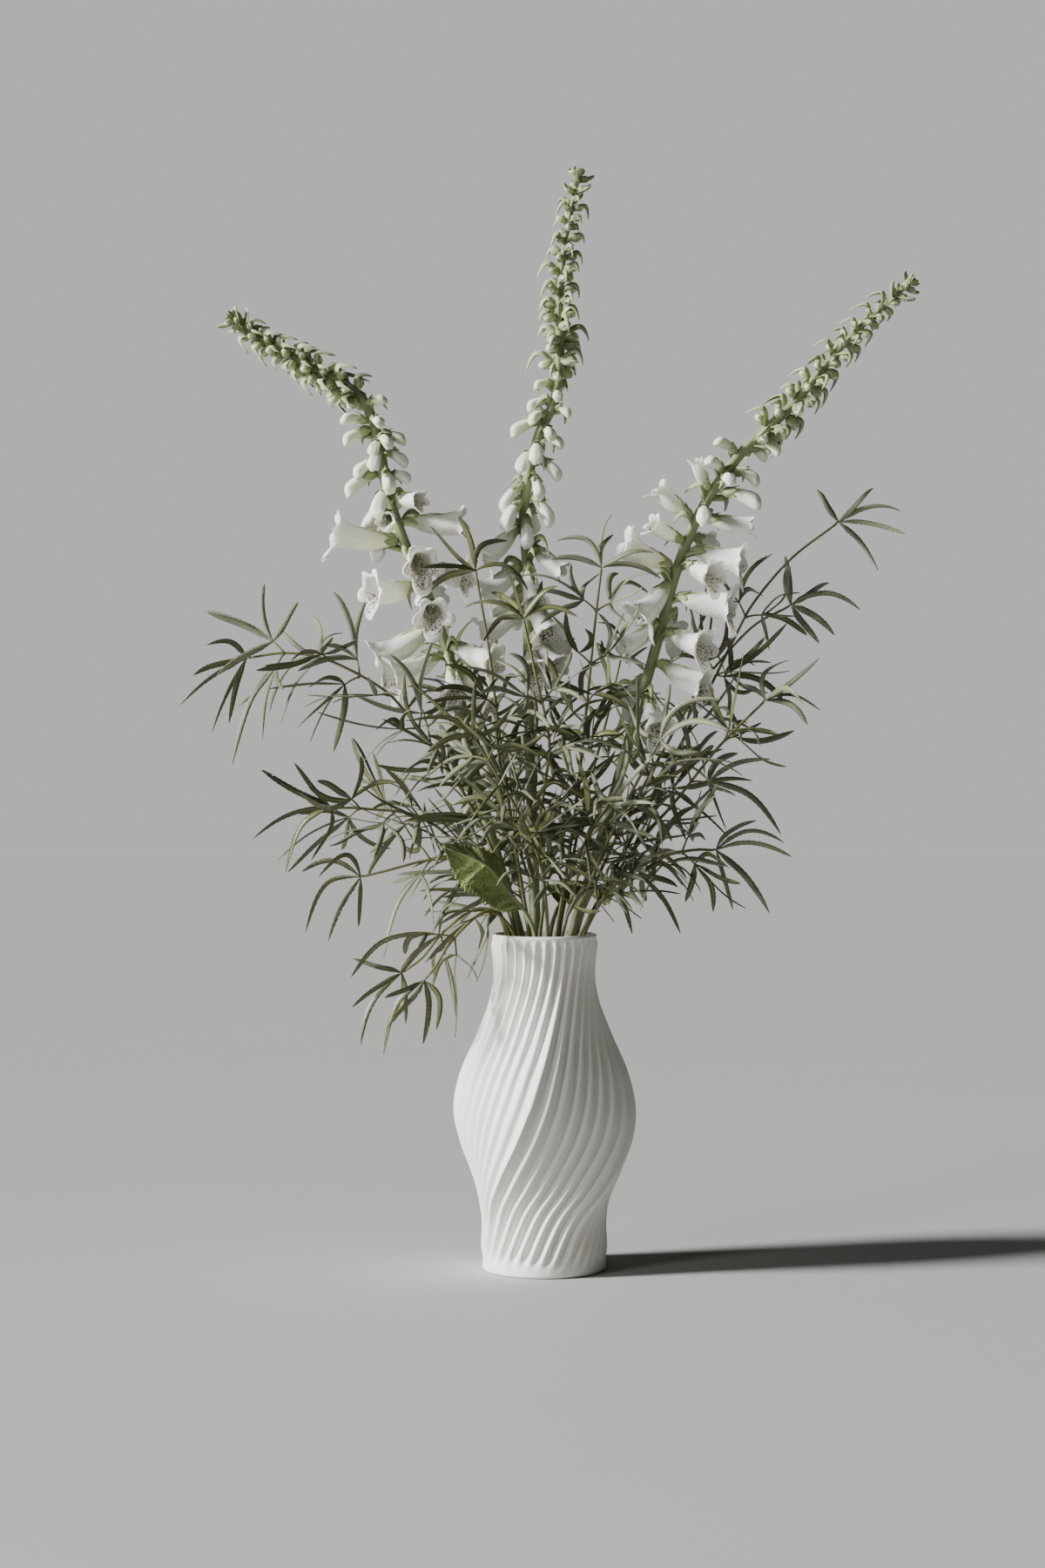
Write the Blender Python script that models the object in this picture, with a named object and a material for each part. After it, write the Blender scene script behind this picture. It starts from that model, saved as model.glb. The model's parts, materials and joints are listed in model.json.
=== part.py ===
"""Vase of foxglove: a twisted, fluted porcelain vase, its water, three stems of white foxglove,
two of their broad leaves, and a bunch of narrow-leaved evergreen sprigs.

Metres, +Z up. The origin is the centre of the vase's foot, on the surface that it stands on.
The front is towards -Y, and +X is to the right. Routes and sizes below are in millimetres.
"""
import math
import random

import bmesh
import bpy
import numpy as np
from mathutils import Vector

MM = 0.001
GAP = 0.35

# Vase: height against crest radius, turn of the four crests, and how square the section is.
# The flutes rise from nothing over the first of their runs, and fade out over the second.
VASE_HEIGHT = 300.0
CREST_RADIUS = ((0, 55.2), (30, 55.6), (50, 59.0), (78, 70.0), (110, 78.8), (140, 81.2), (174, 73.8),
                (211, 58.2), (245, 46.8), (268, 43.9), (300, 47.0))
CREST_TURN = ((0, -75), (26, -65), (54, -52), (79, -36.5), (115, -20), (150, -9.6), (177, -3.6),
              (216, 6.4), (267, 21), (300, 24))
SQUARENESS = ((0, 0.0), (20, 0.02), (50, 0.09), (80, 0.15), (130, 0.17), (180, 0.165), (211, 0.13),
              (245, 0.05), (275, 0.01), (300, 0.0))
CREST_SHARPNESS = 1.1
FLUTES = 32
FLUTE_DEPTH = 1.7
FLUTE_FOOT = 9.0
FLUTE_RIM = 296.5
FLUTE_RUNS = (12.0, 6.0)
WALL = 4.6
FLOOR = 7.0
FLOOR_ROUND = 3.0
FOOT_EDGE = 3.0
WATER_LEVEL = 196.0
WATER_INSET = 0.65
HOLE_ROOM = 0.9
OUTER_LEVELS = (20, 38, 57, 77, 98, 121, 145, 169, 195, 222, 252, 282)
INNER_LEVELS = (28, 72, 112, 150, WATER_LEVEL + 8.0, 244, 286)

# Stems: each passes the neck, turned a little round the axis above its foot on the vase's floor.
# A stem's two radii are those of its foot and of its tip.
NECK_HEIGHT = 285.0
NECK_POINT = 2
NECK_REACH = 0.97
FOOT_REACH = 0.98
STEM_STEP = 44.0
SPIRAL_TURN = math.radians(-38)
FOXGLOVE_STEM = (5.2, 4.2)
SPRIG_STEM = (1.9, 1.1)

# Least room between two stems, between a stem and the neck, round a flower, round a leaf, and
# between the leaves of one sprig, which may just touch.
STEM_ROOM = 1.6
NECK_ROOM = 1.5
FLOWER_ROOM = 1.2
LEAF_ROOM = 0.6
OWN_ROOM = -0.4
EASE_ROUNDS = 60

FOXGLOVES = {
    "left": [(-23, 4, 300), (-43, 2, 370), (-64, 0, 450), (-83, -4, 540), (-106, -6, 606),
             (-124, -6, 647), (-140, -6, 695), (-148, -6, 741), (-165, -5, 779), (-211, -3, 806),
             (-257, 0, 832), (-282, 0, 851)],
    "centre": [(-8, 6, 300), (-11, 6, 400), (-14, 5, 520), (-15, 4, 620), (-18, 2, 682),
               (-6, 2, 741), (10, 2, 779), (14, 2, 830), (13, 2, 860), (19, 2, 920), (32, 3, 981)],
    "right": [(26, 6, 300), (50, 8, 380), (73, 6, 462), (91, 4, 525), (105, 2, 576),
              (117, 2, 621), (139, 2, 676), (175, 2, 728), (218, 4, 768), (271, 6, 830),
              (331, 8, 884)],
}

# Flowers: height on the stem, the way from there to the mouth (right, forward, up), and how far
# each has opened, from 0 for a bud to 1 for a bell.
FLOWERS = {
    "left": [(548, (8, 24, -36), 1), (552, (-50, 20, -24), 1), (576, (-54, 14, -30), 1),
             (560, (34, 34, -22), 1), (584, (46, 8, -32), 1), (598, (6, 46, -16), 1),
             (540, (30, 22, -38), 1), (610, (-46, 30, -6), 1),
             (624, (14, -38, -22), 1), (630, (48, 18, -12), 1), (642, (16, 44, -16), 1),
             (648, (-62, 8, 10), 1), (664, (-20, -36, -12), 1), (668, (58, 8, -2), 0.7),
             (676, (-6, 36, -10), 0.7), (690, (28, 28, -6), 0.6), (690, (-30, 8, -26), 0.3),
             (700, (20, -24, -8), 0.3), (706, (20, 14, 4), 0.3), (712, (-34, 6, -12), 0.2),
             (722, (-25, 8, -8), 0.2), (730, (24, 8, -6), 0.2), (738, (-4, 22, -6), 0.1),
             (744, (24, 2, 0), 0.1), (748, (-26, 6, -4), 0.1), (754, (-22, 10, 8), 0.1),
             (762, (2, -22, 2), 0.1), (770, (17, 8, 8), 0.0)],
    "centre": [(560, (-24, 28, -28), 1), (572, (8, 32, -34), 1), (584, (30, -22, -30), 1),
               (596, (-38, 12, -28), 1), (606, (20, 22, -40), 1), (618, (-14, -34, -28), 1),
               (632, (-36, 14, -28), 0.9), (638, (12, 18, -42), 0.8), (650, (32, 10, -26), 0.6),
               (668, (-36, 10, -34), 1), (676, (4, 16, -26), 0.3), (684, (10, -26, -16), 0.3),
               (694, (26, 6, -22), 0.3), (706, (-28, 6, -22), 0.3), (712, (10, 16, -18), 0.2),
               (722, (-8, -24, -10), 0.2), (738, (-32, 4, -4), 0.3), (746, (20, 6, -6), 0.1),
               (758, (-30, 4, -5), 0.1), (770, (16, 5, -3), 0.1), (776, (-22, 4, -2), 0.1),
               (782, (2, 18, -2), 0.0), (790, (-17, 4, 2), 0.0), (794, (4, -17, 0), 0.0)],
    "right": [(520, (12, 26, -38), 1), (534, (-20, -32, -24), 1), (545, (46, 20, -24), 1),
              (572, (38, 30, -16), 1), (580, (-36, 12, -24), 0.9), (590, (10, -38, -22), 1),
              (602, (54, 16, -10), 1), (618, (-34, 12, -36), 1), (626, (-48, 10, 20), 1),
              (632, (28, 32, -14), 0.9), (644, (50, 12, -12), 1), (648, (-32, 20, 16), 0.8),
              (656, (16, -36, -6), 0.8), (668, (-34, 6, 28), 0.7), (672, (46, 4, -8), 0.5),
              (690, (-14, 10, 30), 0.5), (694, (40, 4, -2), 0.4), (704, (6, 26, 4), 0.3),
              (716, (24, 8, -8), 0.1), (726, (-16, 8, 16), 0.1), (734, (16, -12, -4), 0.1),
              (742, (20, 4, -8), 0.1)],
}
OPEN_FROM = 0.45
CALYX_REACH = 10.0

# Flowers' own forms: a bell's sections outside and inside, each a share of its length and a radius
# as a share of its girth, which is its length up to a limit; its longer lower lip; and the place
# and the radius of a bud's thickest section, as shares of its length.
BELL_SIDES = 5
BELL_GIRTH = 46.0
BELL_OUTSIDE = ((0.06, 0.17), (0.5, 0.25), (1.0, 0.38))
BELL_INSIDE = ((0.97, 0.33), (0.32, 0.14))
LOWER_LIP = 0.14
FLOWER_STALK = 1.5
BUD_SIDES = 4
BUD_STALK = 1.3
BUD_BELLY = (0.62, 0.22)

# The room of a bell and of a bud at its middle and its mouth, as shares of its length, and the ways
# in which a flower may be turned about its stem to find it.
BELL_ROOM = (0.27, 0.36)
BUD_ROOM = (0.25, 0.15)
SWINGS = (0, 12, -12, 24, -24, 36, -36, 50, -50, 65, -65, 85, -85)
FLOWER_SWINGS = [(room, swing) for room in (-0.5, -3.0, -12.0) for swing in SWINGS]

# Spikes: the height at which the buds and bracts of each begin, how many there are, and, at its
# foot and its tip, a bud's length, the stem's radius, and the room kept from flowers and leaves.
# A bract is a share longer than its bud, sits below it, and rises or dips by a share at its tip.
SPIKE_START = {"left": 776, "centre": 798, "right": 744}
SPIKE_BUDS = 18
SPIKE_BUD = (18.0, 9.0)
SPIKE_CORE = (4.3, 1.5)
SPIKE_ROOM = (15.0, 7.0)
SPIKE_REACH = (22.0, 12.0)
SPIKE_ROOM_BELOW = 20.0
SPIKE_TURN = 137.5
SPIKE_LEAN = 0.25
BRACT_WIDTH = 3.6
BRACT_LENGTH = 1.3
BRACT_DROP = 5.0
BRACT_TURN = 60.0
BRACT_RISE = (-0.4, 0.5)
TUFT_FROM = 0.86

# Sprigs: where each passes the neck, then the points of its route (right, back, up).
SPRIGS = {
    "left_high": [(-25, -8, 300), (-51, -20, 387), (-97, -35, 465), (-144, -45, 519),
                  (-190, -50, 543), (-226, -50, 549), (-258, -50, 545)],
    "left_middle": [(-33, 8, 300), (-62, 16, 362), (-108, 20, 402), (-160, 12, 411),
                    (-188, 8, 412)],
    "left_low": [(-34, -1, 300), (-52, -6, 345), (-76, -12, 366), (-104, -16, 366),
                 (-140, -20, 357), (-160, -20, 352)],
    "rim_left": [(-31, -12, 300), (-42, -14, 319), (-63, -16, 322), (-90, -18, 302),
                 (-108, -20, 280), (-124, -22, 268)],
    "rim_front": [(-26, -20, 300), (-38, -27, 319), (-58, -37, 319), (-82, -44, 296),
                  (-96, -46, 274), (-104, -46, 264)],
    "centre_left": [(-13, -14, 300), (-27, -30, 387), (-39, -40, 472), (-50, -46, 560),
                    (-60, -48, 618)],
    "centre_front": [(-4, -26, 300), (-4, -48, 400), (4, -64, 472), (-8, -72, 530),
                     (-18, -72, 575)],
    "centre_right": [(11, -10, 300), (26, -20, 400), (36, -24, 490), (44, -22, 570),
                     (50, -20, 622)],
    "right_high": [(34, 10, 300), (72, 28, 371), (114, 42, 449), (154, 46, 527), (190, 42, 597),
                   (223, 36, 636), (263, 30, 667)],
    "right_second": [(28, 20, 300), (64, 52, 380), (108, 74, 460), (150, 82, 530),
                     (190, 74, 575), (223, 62, 594)],
    "right_middle": [(36, -1, 300), (72, -6, 365), (118, -10, 420), (156, -14, 468),
                     (194, -16, 506)],
    "right_low": [(32, -12, 300), (62, -26, 345), (98, -36, 368), (130, -40, 376),
                  (148, -40, 376)],
    "right_droop": [(16, -30, 300), (28, -50, 350), (40, -66, 392), (54, -78, 416)],
    "back_left": [(-14, 22, 300), (-34, 60, 390), (-60, 95, 470), (-85, 120, 540)],
    "back_right": [(14, 26, 300), (34, 75, 400), (56, 115, 480), (72, 140, 545)],
    "back_low": [(-6, 33, 300), (-14, 74, 360), (-22, 118, 402), (-28, 155, 414)],
    "front_left": [(3, -34, 300), (-4, -68, 366), (-30, -96, 424), (-60, -108, 474)],
    "front_right": [(24, -22, 300), (50, -50, 372), (74, -74, 425), (98, -86, 470)],
}

# Leaves: how far apart their pairs stand, their leaflets, the spread of these in degrees, and how
# far a leaf's plane is turned about its stalk from level, at most, and at the end of a sprig.
PAIR_SPACING = 135.0
PAIR_SHIFT = 0.75
PAIRS = (2, 5)
STALK_LEAN = 0.7
LEAFLETS = 3
END_LEAFLETS = 5
FAN = 136.0
FAN_JITTER = 5.0
LEAF_TILT = 62.0
END_TILT = 78.0
LEAFLET_LENGTH = (48.0, 74.0)
LEAFLET_DROOP = (0.05, 0.6)
SIDE_SHORTENING = 240.0
LEAFLET_MIDDLE = 0.48
DROOPS = (0.5, 1.6)
TIP_WIDTH = 0.2
LEAFLET_SWINGS = (0, 9, -9)
LEAFLET_TILTS = (0, 12, -12, 24, -24, 36, -36, 48, -48)
LEAFLET_WIDTH = 5.4
LEAFLET_KEEL = 1.5
PETIOLE = 15.0
PETIOLE_RADIUS = 1.3
END_PETIOLE = 3.0
HUB = 2.4
HUB_HEIGHTS = (0.7, -1.1)
HUB_REACH = (2.2, 5.0)
HUB_SIDES = 62.0
LEAF_FOOT = {"end": (1.5, 1.0), "side": (0.8, 0.2)}
STALK_SWINGS = (0, 25, -25, 50, -50, 75, -75, 100, -100, 130, -130)

# Broad foxglove leaves: where the stalk passes the neck, then the midrib's route; how far the
# halves are raised, in radians, and how far the blade is rolled about its midrib, in degrees. The
# blade starts after a bare share of the route, and its edge sweeps forward and is toothed.
BROAD_LEAVES = {
    "front": [(-8, -33, 300), (-16, -44, 320), (-33, -56, 342), (-52, -62, 364), (-86, -66, 378)],
    "back": [(6, 28, 300), (13, 48, 320), (26, 76, 334), (42, 102, 334), (58, 122, 322)],
}
BROAD_FOLD = {"front": 0.38, "back": 0.3}
BROAD_ROLL = {"front": 132.0, "back": 0.0}
BROAD_START = 22.0
BROAD_WIDTH = 64.0
BROAD_THICK = 0.9
BROAD_STALK = 2.6
BROAD_ROWS = 6
BROAD_BARE = 0.12
BROAD_SHAPE = (0.06, 0.8)
BROAD_TEETH = (0.92, 1.08)
BROAD_SWEEP = 2.5
BROAD_LEAST = 1.2

COLOURS = {
    "porcelain": ((0.86, 0.86, 0.82), 0.55),
    "water": ((0.80, 0.86, 0.84), 0.08),
    "foxglove": ((0.82, 0.84, 0.74), 0.55),
    "broad leaf": ((0.12, 0.22, 0.05), 0.50),
    "sprig": ((0.09, 0.13, 0.04), 0.42),
}


def eased(table, at):
    """Value at a height, on a smooth curve through a table's points."""
    xs = [row[0] for row in table]
    ys = [row[1] for row in table]
    last = len(xs) - 1
    slopes = [(ys[min(i + 1, last)] - ys[max(i - 1, 0)]) / (xs[min(i + 1, last)] - xs[max(i - 1, 0)])
              for i in range(last + 1)]
    at = min(max(at, xs[0]), xs[-1])
    i = max(k for k in range(last) if xs[k] <= at)
    span = xs[i + 1] - xs[i]
    t = (at - xs[i]) / span
    return (ys[i] * (1 + 2 * t) * (1 - t) ** 2 + slopes[i] * span * t * (1 - t) ** 2
            + ys[i + 1] * t * t * (3 - 2 * t) + slopes[i + 1] * span * t * t * (t - 1))


def wall_radius(height, share):
    """Mean radius of the vase's outside at a share of a full turn from a crest."""
    lobe = abs(math.sin(4 * math.pi * share)) ** CREST_SHARPNESS
    return eased(CREST_RADIUS, height) * (1 - eased(SQUARENESS, height) * lobe)


def flute_relief(height, share):
    """How far a flute's ridge or hollow stands from the mean radius."""
    rise = min(1.0, max(0.0, (height - FLUTE_FOOT) / FLUTE_RUNS[0]))
    fade = min(1.0, max(0.0, (FLUTE_RIM - height) / FLUTE_RUNS[1]))
    return FLUTE_DEPTH * rise * fade * math.cos(2 * math.pi * FLUTES * share)


def vase_point(radius, height, share):
    """A point on a ring that turns with the crests; the front is at angle 0."""
    angle = math.radians(eased(CREST_TURN, height)) + 2 * math.pi * share
    return Vector((radius * math.sin(angle), -radius * math.cos(angle), height))


def vase_inner(height):
    """Least inner radius at a height."""
    return eased(CREST_RADIUS, height) * (1 - eased(SQUARENESS, height)) - WALL


def curve_through(points, step):
    """Points about a step apart on a smooth curve through a route's own points."""
    ends = [2 * points[0] - points[1]] + list(points) + [2 * points[-1] - points[-2]]
    line = [points[0].copy()]
    for i in range(1, len(ends) - 2):
        a, b, c, d = ends[i - 1:i + 3]
        count = max(1, round((c - b).length / step))
        for k in range(1, count + 1):
            t = k / count
            line.append(0.5 * (2 * b + (c - a) * t + (2 * a - 5 * b + 4 * c - d) * t * t
                               + (3 * b - 3 * c + d - a) * t ** 3))
    return line


def stem_route(route):
    """A stem from the vase's floor, through the neck, along its own route."""
    neck = Vector(route[0])
    low = Vector((neck.x, neck.y, 0)) * FOOT_REACH
    foot = Vector((low.x * math.cos(SPIRAL_TURN) - low.y * math.sin(SPIRAL_TURN),
                   low.x * math.sin(SPIRAL_TURN) + low.y * math.cos(SPIRAL_TURN), FLOOR + GAP))
    base = Vector((neck.x * NECK_REACH, neck.y * NECK_REACH, NECK_HEIGHT))
    above = curve_through([base, neck] + [Vector(p) for p in route[1:]], STEM_STEP)
    return [foot] + above


def segment_gaps(start, end, starts, ends):
    """Least distances from one straight piece to many."""
    d1 = end - start
    d2 = ends - starts
    r = start - starts
    a = max(float(d1 @ d1), 1e-9)
    e = np.maximum((d2 * d2).sum(1), 1e-9)
    f = (d2 * r).sum(1)
    c = r @ d1
    b = d2 @ d1
    denom = np.maximum(a * e - b * b, 1e-9)
    s = np.clip((b * f - c * e) / denom, 0, 1)
    t = np.clip((b * s + f) / e, 0, 1)
    s = np.clip((b * t - c) / a, 0, 1)
    return np.linalg.norm(start + d1 * s[:, None] - starts - d2 * t[:, None], axis=1)


class Space:
    """What already stands in the bunch, as straight pieces with a radius and an owner."""

    def __init__(self):
        self.rows = np.zeros((0, 8))

    def add(self, owner, chain):
        """Takes in a chain of (point, radius)."""
        new = [(*p, *q, max(r, s), owner) for (p, r), (q, s) in zip(chain, chain[1:])]
        self.rows = np.vstack([self.rows, new])

    def near(self, chain, gap):
        """The pieces whose boxes come within a gap of a chain's box."""
        low = np.min([np.array(p) - r for p, r in chain], axis=0) - gap
        high = np.max([np.array(p) + r for p, r in chain], axis=0) + gap
        starts, ends, radii = self.rows[:, 0:3], self.rows[:, 3:6], self.rows[:, 6:7]
        inside = ((np.minimum(starts, ends) - radii < high)
                  & (np.maximum(starts, ends) + radii > low)).all(axis=1)
        return self.rows[inside]

    def clear(self, owner, chain, gap, own_gap=None):
        """True where a chain of (point, radius) is clear of other owners, and of the vase."""
        if not all(outside_vase(p, r + gap) for p, r in chain):
            return False
        rows = self.near(chain, gap)
        others = rows[rows[:, 7] != owner]
        own = rows[rows[:, 7] == owner]
        for (p, r), (q, s) in zip(chain, chain[1:]):
            p, q = np.array(p), np.array(q)
            for group, room in ((others, gap), (own, own_gap)):
                if room is None or not len(group):
                    continue
                gaps = segment_gaps(p, q, group[:, 0:3], group[:, 3:6])
                if (gaps < group[:, 6] + max(r, s) + room).any():
                    return False
        return True


def outside_vase(point, radius):
    """True where a ball is clear of the vase's wall and lip."""
    if point[2] > VASE_HEIGHT + radius:
        return True
    reach = math.hypot(point[0], point[1])
    height = min(point[2], VASE_HEIGHT)
    outer = eased(CREST_RADIUS, height) + FLUTE_DEPTH
    return reach > outer + radius or reach < vase_inner(height) - radius


def ease_apart(lines, radii):
    """Bends stems that would cross clear of each other, and keeps them inside the neck."""
    rooms = [np.array([tuple(p) for p in line]) for line in lines]
    for _ in range(EASE_ROUNDS):
        for i, line in enumerate(rooms):
            push = np.zeros_like(line)
            for j, other in enumerate(rooms):
                if i == j:
                    continue
                a, b = other[:-1], other[1:]
                span = b - a
                t = ((line[:, None] - a) * span).sum(2) / (span * span).sum(1)
                near = a + np.clip(t, 0, 1)[..., None] * span
                away = line[:, None] - near
                gaps = np.linalg.norm(away, axis=2)
                best = gaps.argmin(1)
                rows = np.arange(len(line))
                gap = gaps[rows, best]
                need = radii[i][rows] + radii[j][best + 1] + STEM_ROOM
                short = np.maximum(need - gap, 0) * 0.5
                push += away[rows, best] / np.maximum(gap, 1e-6)[:, None] * short[:, None]
            push[:, 2] = 0
            line += push
            for k in range(NECK_POINT + 1):
                reach = math.hypot(line[k, 0], line[k, 1])
                room = vase_inner(line[k, 2]) - radii[i][k] - NECK_ROOM
                if reach > room:
                    line[k, :2] *= room / reach
    return [[Vector(p) for p in line] for line in rooms]


def tapered(count, ends):
    """Radii that run evenly from the first to the last of a stem's points."""
    return [ends[0] + (ends[1] - ends[0]) * k / (count - 1) for k in range(count)]


def at_share(line, share):
    """A point and the way on, at a share of a line's length."""
    spans = [(b - a).length for a, b in zip(line, line[1:])]
    left = share * sum(spans)
    for (a, b), span in zip(zip(line, line[1:]), spans):
        if left <= span or b is line[-1]:
            return a.lerp(b, min(1.0, left / span)), (b - a).normalized()
        left -= span
    return line[-1], (line[-1] - line[-2]).normalized()


def at_height(line, height):
    """The stem's point at a height, and the way on from there."""
    for a, b in zip(line, line[1:]):
        if a.z <= height <= b.z:
            return a.lerp(b, (height - a.z) / (b.z - a.z)), (b - a).normalized()
    return line[-1], (line[-1] - line[-2]).normalized()


def side_ways(axis):
    """Two directions square to an axis, the first of them level where it can be."""
    level = axis.cross(Vector((0, 0, 1)))
    if level.length < 0.05:
        level = Vector((1, 0, 0))
    level.normalize()
    return level, level.cross(axis).normalized()


def turned(direction, axis, degrees):
    """A direction turned about an axis."""
    angle = math.radians(degrees)
    return (direction * math.cos(angle) + axis.cross(direction) * math.sin(angle)
            + axis * axis.dot(direction) * (1 - math.cos(angle)))


def blade_chain(root, way, length, droop, width):
    """Root, middle and tip of a leaflet that bends down as it goes."""
    middle = root + (way - Vector((0, 0, droop * DROOPS[0]))).normalized() * length * LEAFLET_MIDDLE
    tip = middle + (way - Vector((0, 0, droop * DROOPS[1]))).normalized() * length * (
        1 - LEAFLET_MIDDLE)
    return [(root, HUB), (middle, width * 0.5), (tip, width * TIP_WIDTH)]


def flower_chain(root, mouth, opened):
    """A flower's room: its stalk, its middle and its mouth."""
    length = (mouth - root).length - CALYX_REACH
    wide = BELL_ROOM if opened > OPEN_FROM else BUD_ROOM
    start = root.lerp(mouth, min(0.5, CALYX_REACH / (length + CALYX_REACH)))
    middle = start.lerp(mouth, 0.55)
    return [(tuple(root), FLOWER_STALK), (tuple(start), length * wide[0] * 0.6),
            (tuple(middle), length * wide[0]), (tuple(mouth), length * wide[1])]


def plan_flowers(space, stems):
    """Every flower's root, mouth and openness, turned clear of the other stems."""
    plan = {}
    for owner, name in enumerate(FOXGLOVES):
        line = stems["foxglove_" + name]
        flowers = []
        for height, (right, forward, up), opened in FLOWERS[name]:
            root, along = at_height(line, height)
            way = Vector((right, -forward, up))
            for own_gap, swing in FLOWER_SWINGS:
                mouth = root + turned(way, along, swing)
                chain = flower_chain(root, mouth, opened)
                if space.clear(owner, chain[1:], FLOWER_ROOM, own_gap):
                    flowers.append((root, mouth, opened))
                    space.add(owner, chain)
                    break
        plan["foxglove_" + name] = flowers
    return plan


def plan_leaves(space, owner, line, draw):
    """Palmate leaves of a sprig, in opposite pairs along it and one at its end."""
    leaves = []
    spans = [(b - a).length for a, b in zip(line, line[1:])]
    above = sum(spans[NECK_POINT:])
    pairs = max(PAIRS[0], min(PAIRS[1], round(above / PAIR_SPACING)))
    for pair in range(pairs + 1):
        at_end = pair == pairs
        share = 1 - above / sum(spans) * (1 - (pair + PAIR_SHIFT) / (pairs + PAIR_SHIFT))
        node, along = at_share(line, share)
        level, _ = side_ways(along)
        turn = draw.uniform(0, 180)
        for side in ((1,) if at_end else (1, -1)):
            leaf = plan_leaf(space, owner, node, along, level * side, turn,
                             END_LEAFLETS if at_end else LEAFLETS, draw, at_end)
            if leaf:
                leaves.append(leaf)
    return leaves


def plan_leaf(space, owner, node, along, level, turn, count, draw, at_end=False):
    """One palmate leaf, its stalk turned clear of what stands near; None where nothing fits."""
    outward = along
    for swing in (() if at_end else STALK_SWINGS):
        outward = turned(level, along, turn + swing) + along * STALK_LEAN
        outward = outward.normalized()
        stalk = [(tuple(node + outward * far), PETIOLE_RADIUS) for far in (PETIOLE * 0.3, PETIOLE)]
        if space.clear(owner, stalk, LEAF_ROOM):
            break
    hub = node + outward * (END_PETIOLE if at_end else PETIOLE)
    tilt = END_TILT if at_end else draw.uniform(-LEAF_TILT, LEAF_TILT)
    fan = turned(side_ways(outward)[0], outward, tilt)
    axis = fan.cross(outward)
    leaflets = []
    for k in range(count):
        spread = (k - (count - 1) / 2) * FAN / (count - 1) + draw.uniform(-FAN_JITTER, FAN_JITTER)
        length = draw.uniform(*LEAFLET_LENGTH) * (1 - abs(spread) / SIDE_SHORTENING)
        droop = draw.uniform(*LEAFLET_DROOP)
        chain = try_blade(space, owner, hub, outward, axis, fan, spread, length, droop)
        if chain:
            leaflets.append(chain)
    if not leaflets:
        return None
    space.add(owner, [(tuple(node), PETIOLE_RADIUS), (tuple(hub), HUB)])
    for chain in leaflets:
        space.add(owner, [(tuple(p), r) for p, r in chain])
    return node, hub, axis, leaflets


def try_blade(space, owner, hub, outward, axis, fan, spread, length, droop):
    """The first of a leaflet's places, nearest its own first, that is clear of the rest."""
    for swing in LEAFLET_SWINGS:
        for tilt in LEAFLET_TILTS:
            way = turned(turned(outward, axis, spread + swing), fan, tilt)
            chain = blade_chain(hub, way, length, droop, LEAFLET_WIDTH)
            tested = [(tuple(p), r) for p, r in chain]
            short = [(tuple(hub.lerp(chain[1][0], 0.3)), LEAFLET_WIDTH * 0.3)] + tested[1:]
            if (space.clear(owner, tested, LEAF_ROOM)
                    and space.clear(owner, short, LEAF_ROOM, OWN_ROOM)):
                return chain
    return None


def grow():
    """The whole bunch: stems, flowers, broad leaves and leaflets, none crossing another."""
    names = ["foxglove_" + n for n in FOXGLOVES] + ["sprig_" + n for n in SPRIGS]
    names += ["broad_leaf_" + n for n in BROAD_LEAVES]
    routes = list(FOXGLOVES.values()) + list(SPRIGS.values()) + list(BROAD_LEAVES.values())
    ends = [FOXGLOVE_STEM] * len(FOXGLOVES) + [SPRIG_STEM] * len(SPRIGS)
    ends += [(BROAD_STALK, BROAD_STALK * 0.4)] * len(BROAD_LEAVES)
    blades = [0.0] * (len(names) - len(BROAD_LEAVES)) + [BROAD_WIDTH * 0.46] * len(BROAD_LEAVES)
    lines = [stem_route(route) for route in routes]
    radii = [np.array(tapered(len(line), end)) for line, end in zip(lines, ends)]
    rooms = [np.where([p.z > VASE_HEIGHT + BROAD_START for p in line], np.maximum(r, blade), r)
             for line, r, blade in zip(lines, radii, blades)]
    lines = ease_apart(lines, rooms)
    stems = dict(zip(names, lines))
    sizes = dict(zip(names, radii))
    space = Space()
    for owner, (line, room) in enumerate(zip(lines, rooms)):
        space.add(owner, [(tuple(p), r) for p, r in zip(line, room)])
    keep_spikes_clear(space, stems, SPIKE_ROOM)
    flowers = plan_flowers(space, stems)
    keep_spikes_clear(space, stems, SPIKE_REACH)
    leaves = {}
    for number, name in enumerate(SPRIGS):
        owner = names.index("sprig_" + name)
        draw = random.Random(100 + number)
        leaves["sprig_" + name] = plan_leaves(space, owner, stems["sprig_" + name], draw)
    return stems, sizes, flowers, leaves


def keep_spikes_clear(space, stems, room):
    """Takes up the room of each spike's buds and bracts."""
    for owner, name in enumerate(FOXGLOVES):
        spike = [p for p in stems["foxglove_" + name] if p.z > SPIKE_START[name] - SPIKE_ROOM_BELOW]
        radii = tapered(len(spike), room)
        space.add(owner, [(tuple(p), r) for p, r in zip(spike, radii)])


def solid_from(points, faces):
    """A mesh of points in millimetres, its faces pointing out."""
    mesh = bmesh.new()
    verts = [mesh.verts.new(Vector(p) * MM) for p in points]
    for face in faces:
        mesh.faces.new([verts[i] for i in face])
    if mesh.calc_volume(signed=True) < 0:
        bmesh.ops.reverse_faces(mesh, faces=mesh.faces)
    return mesh


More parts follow.
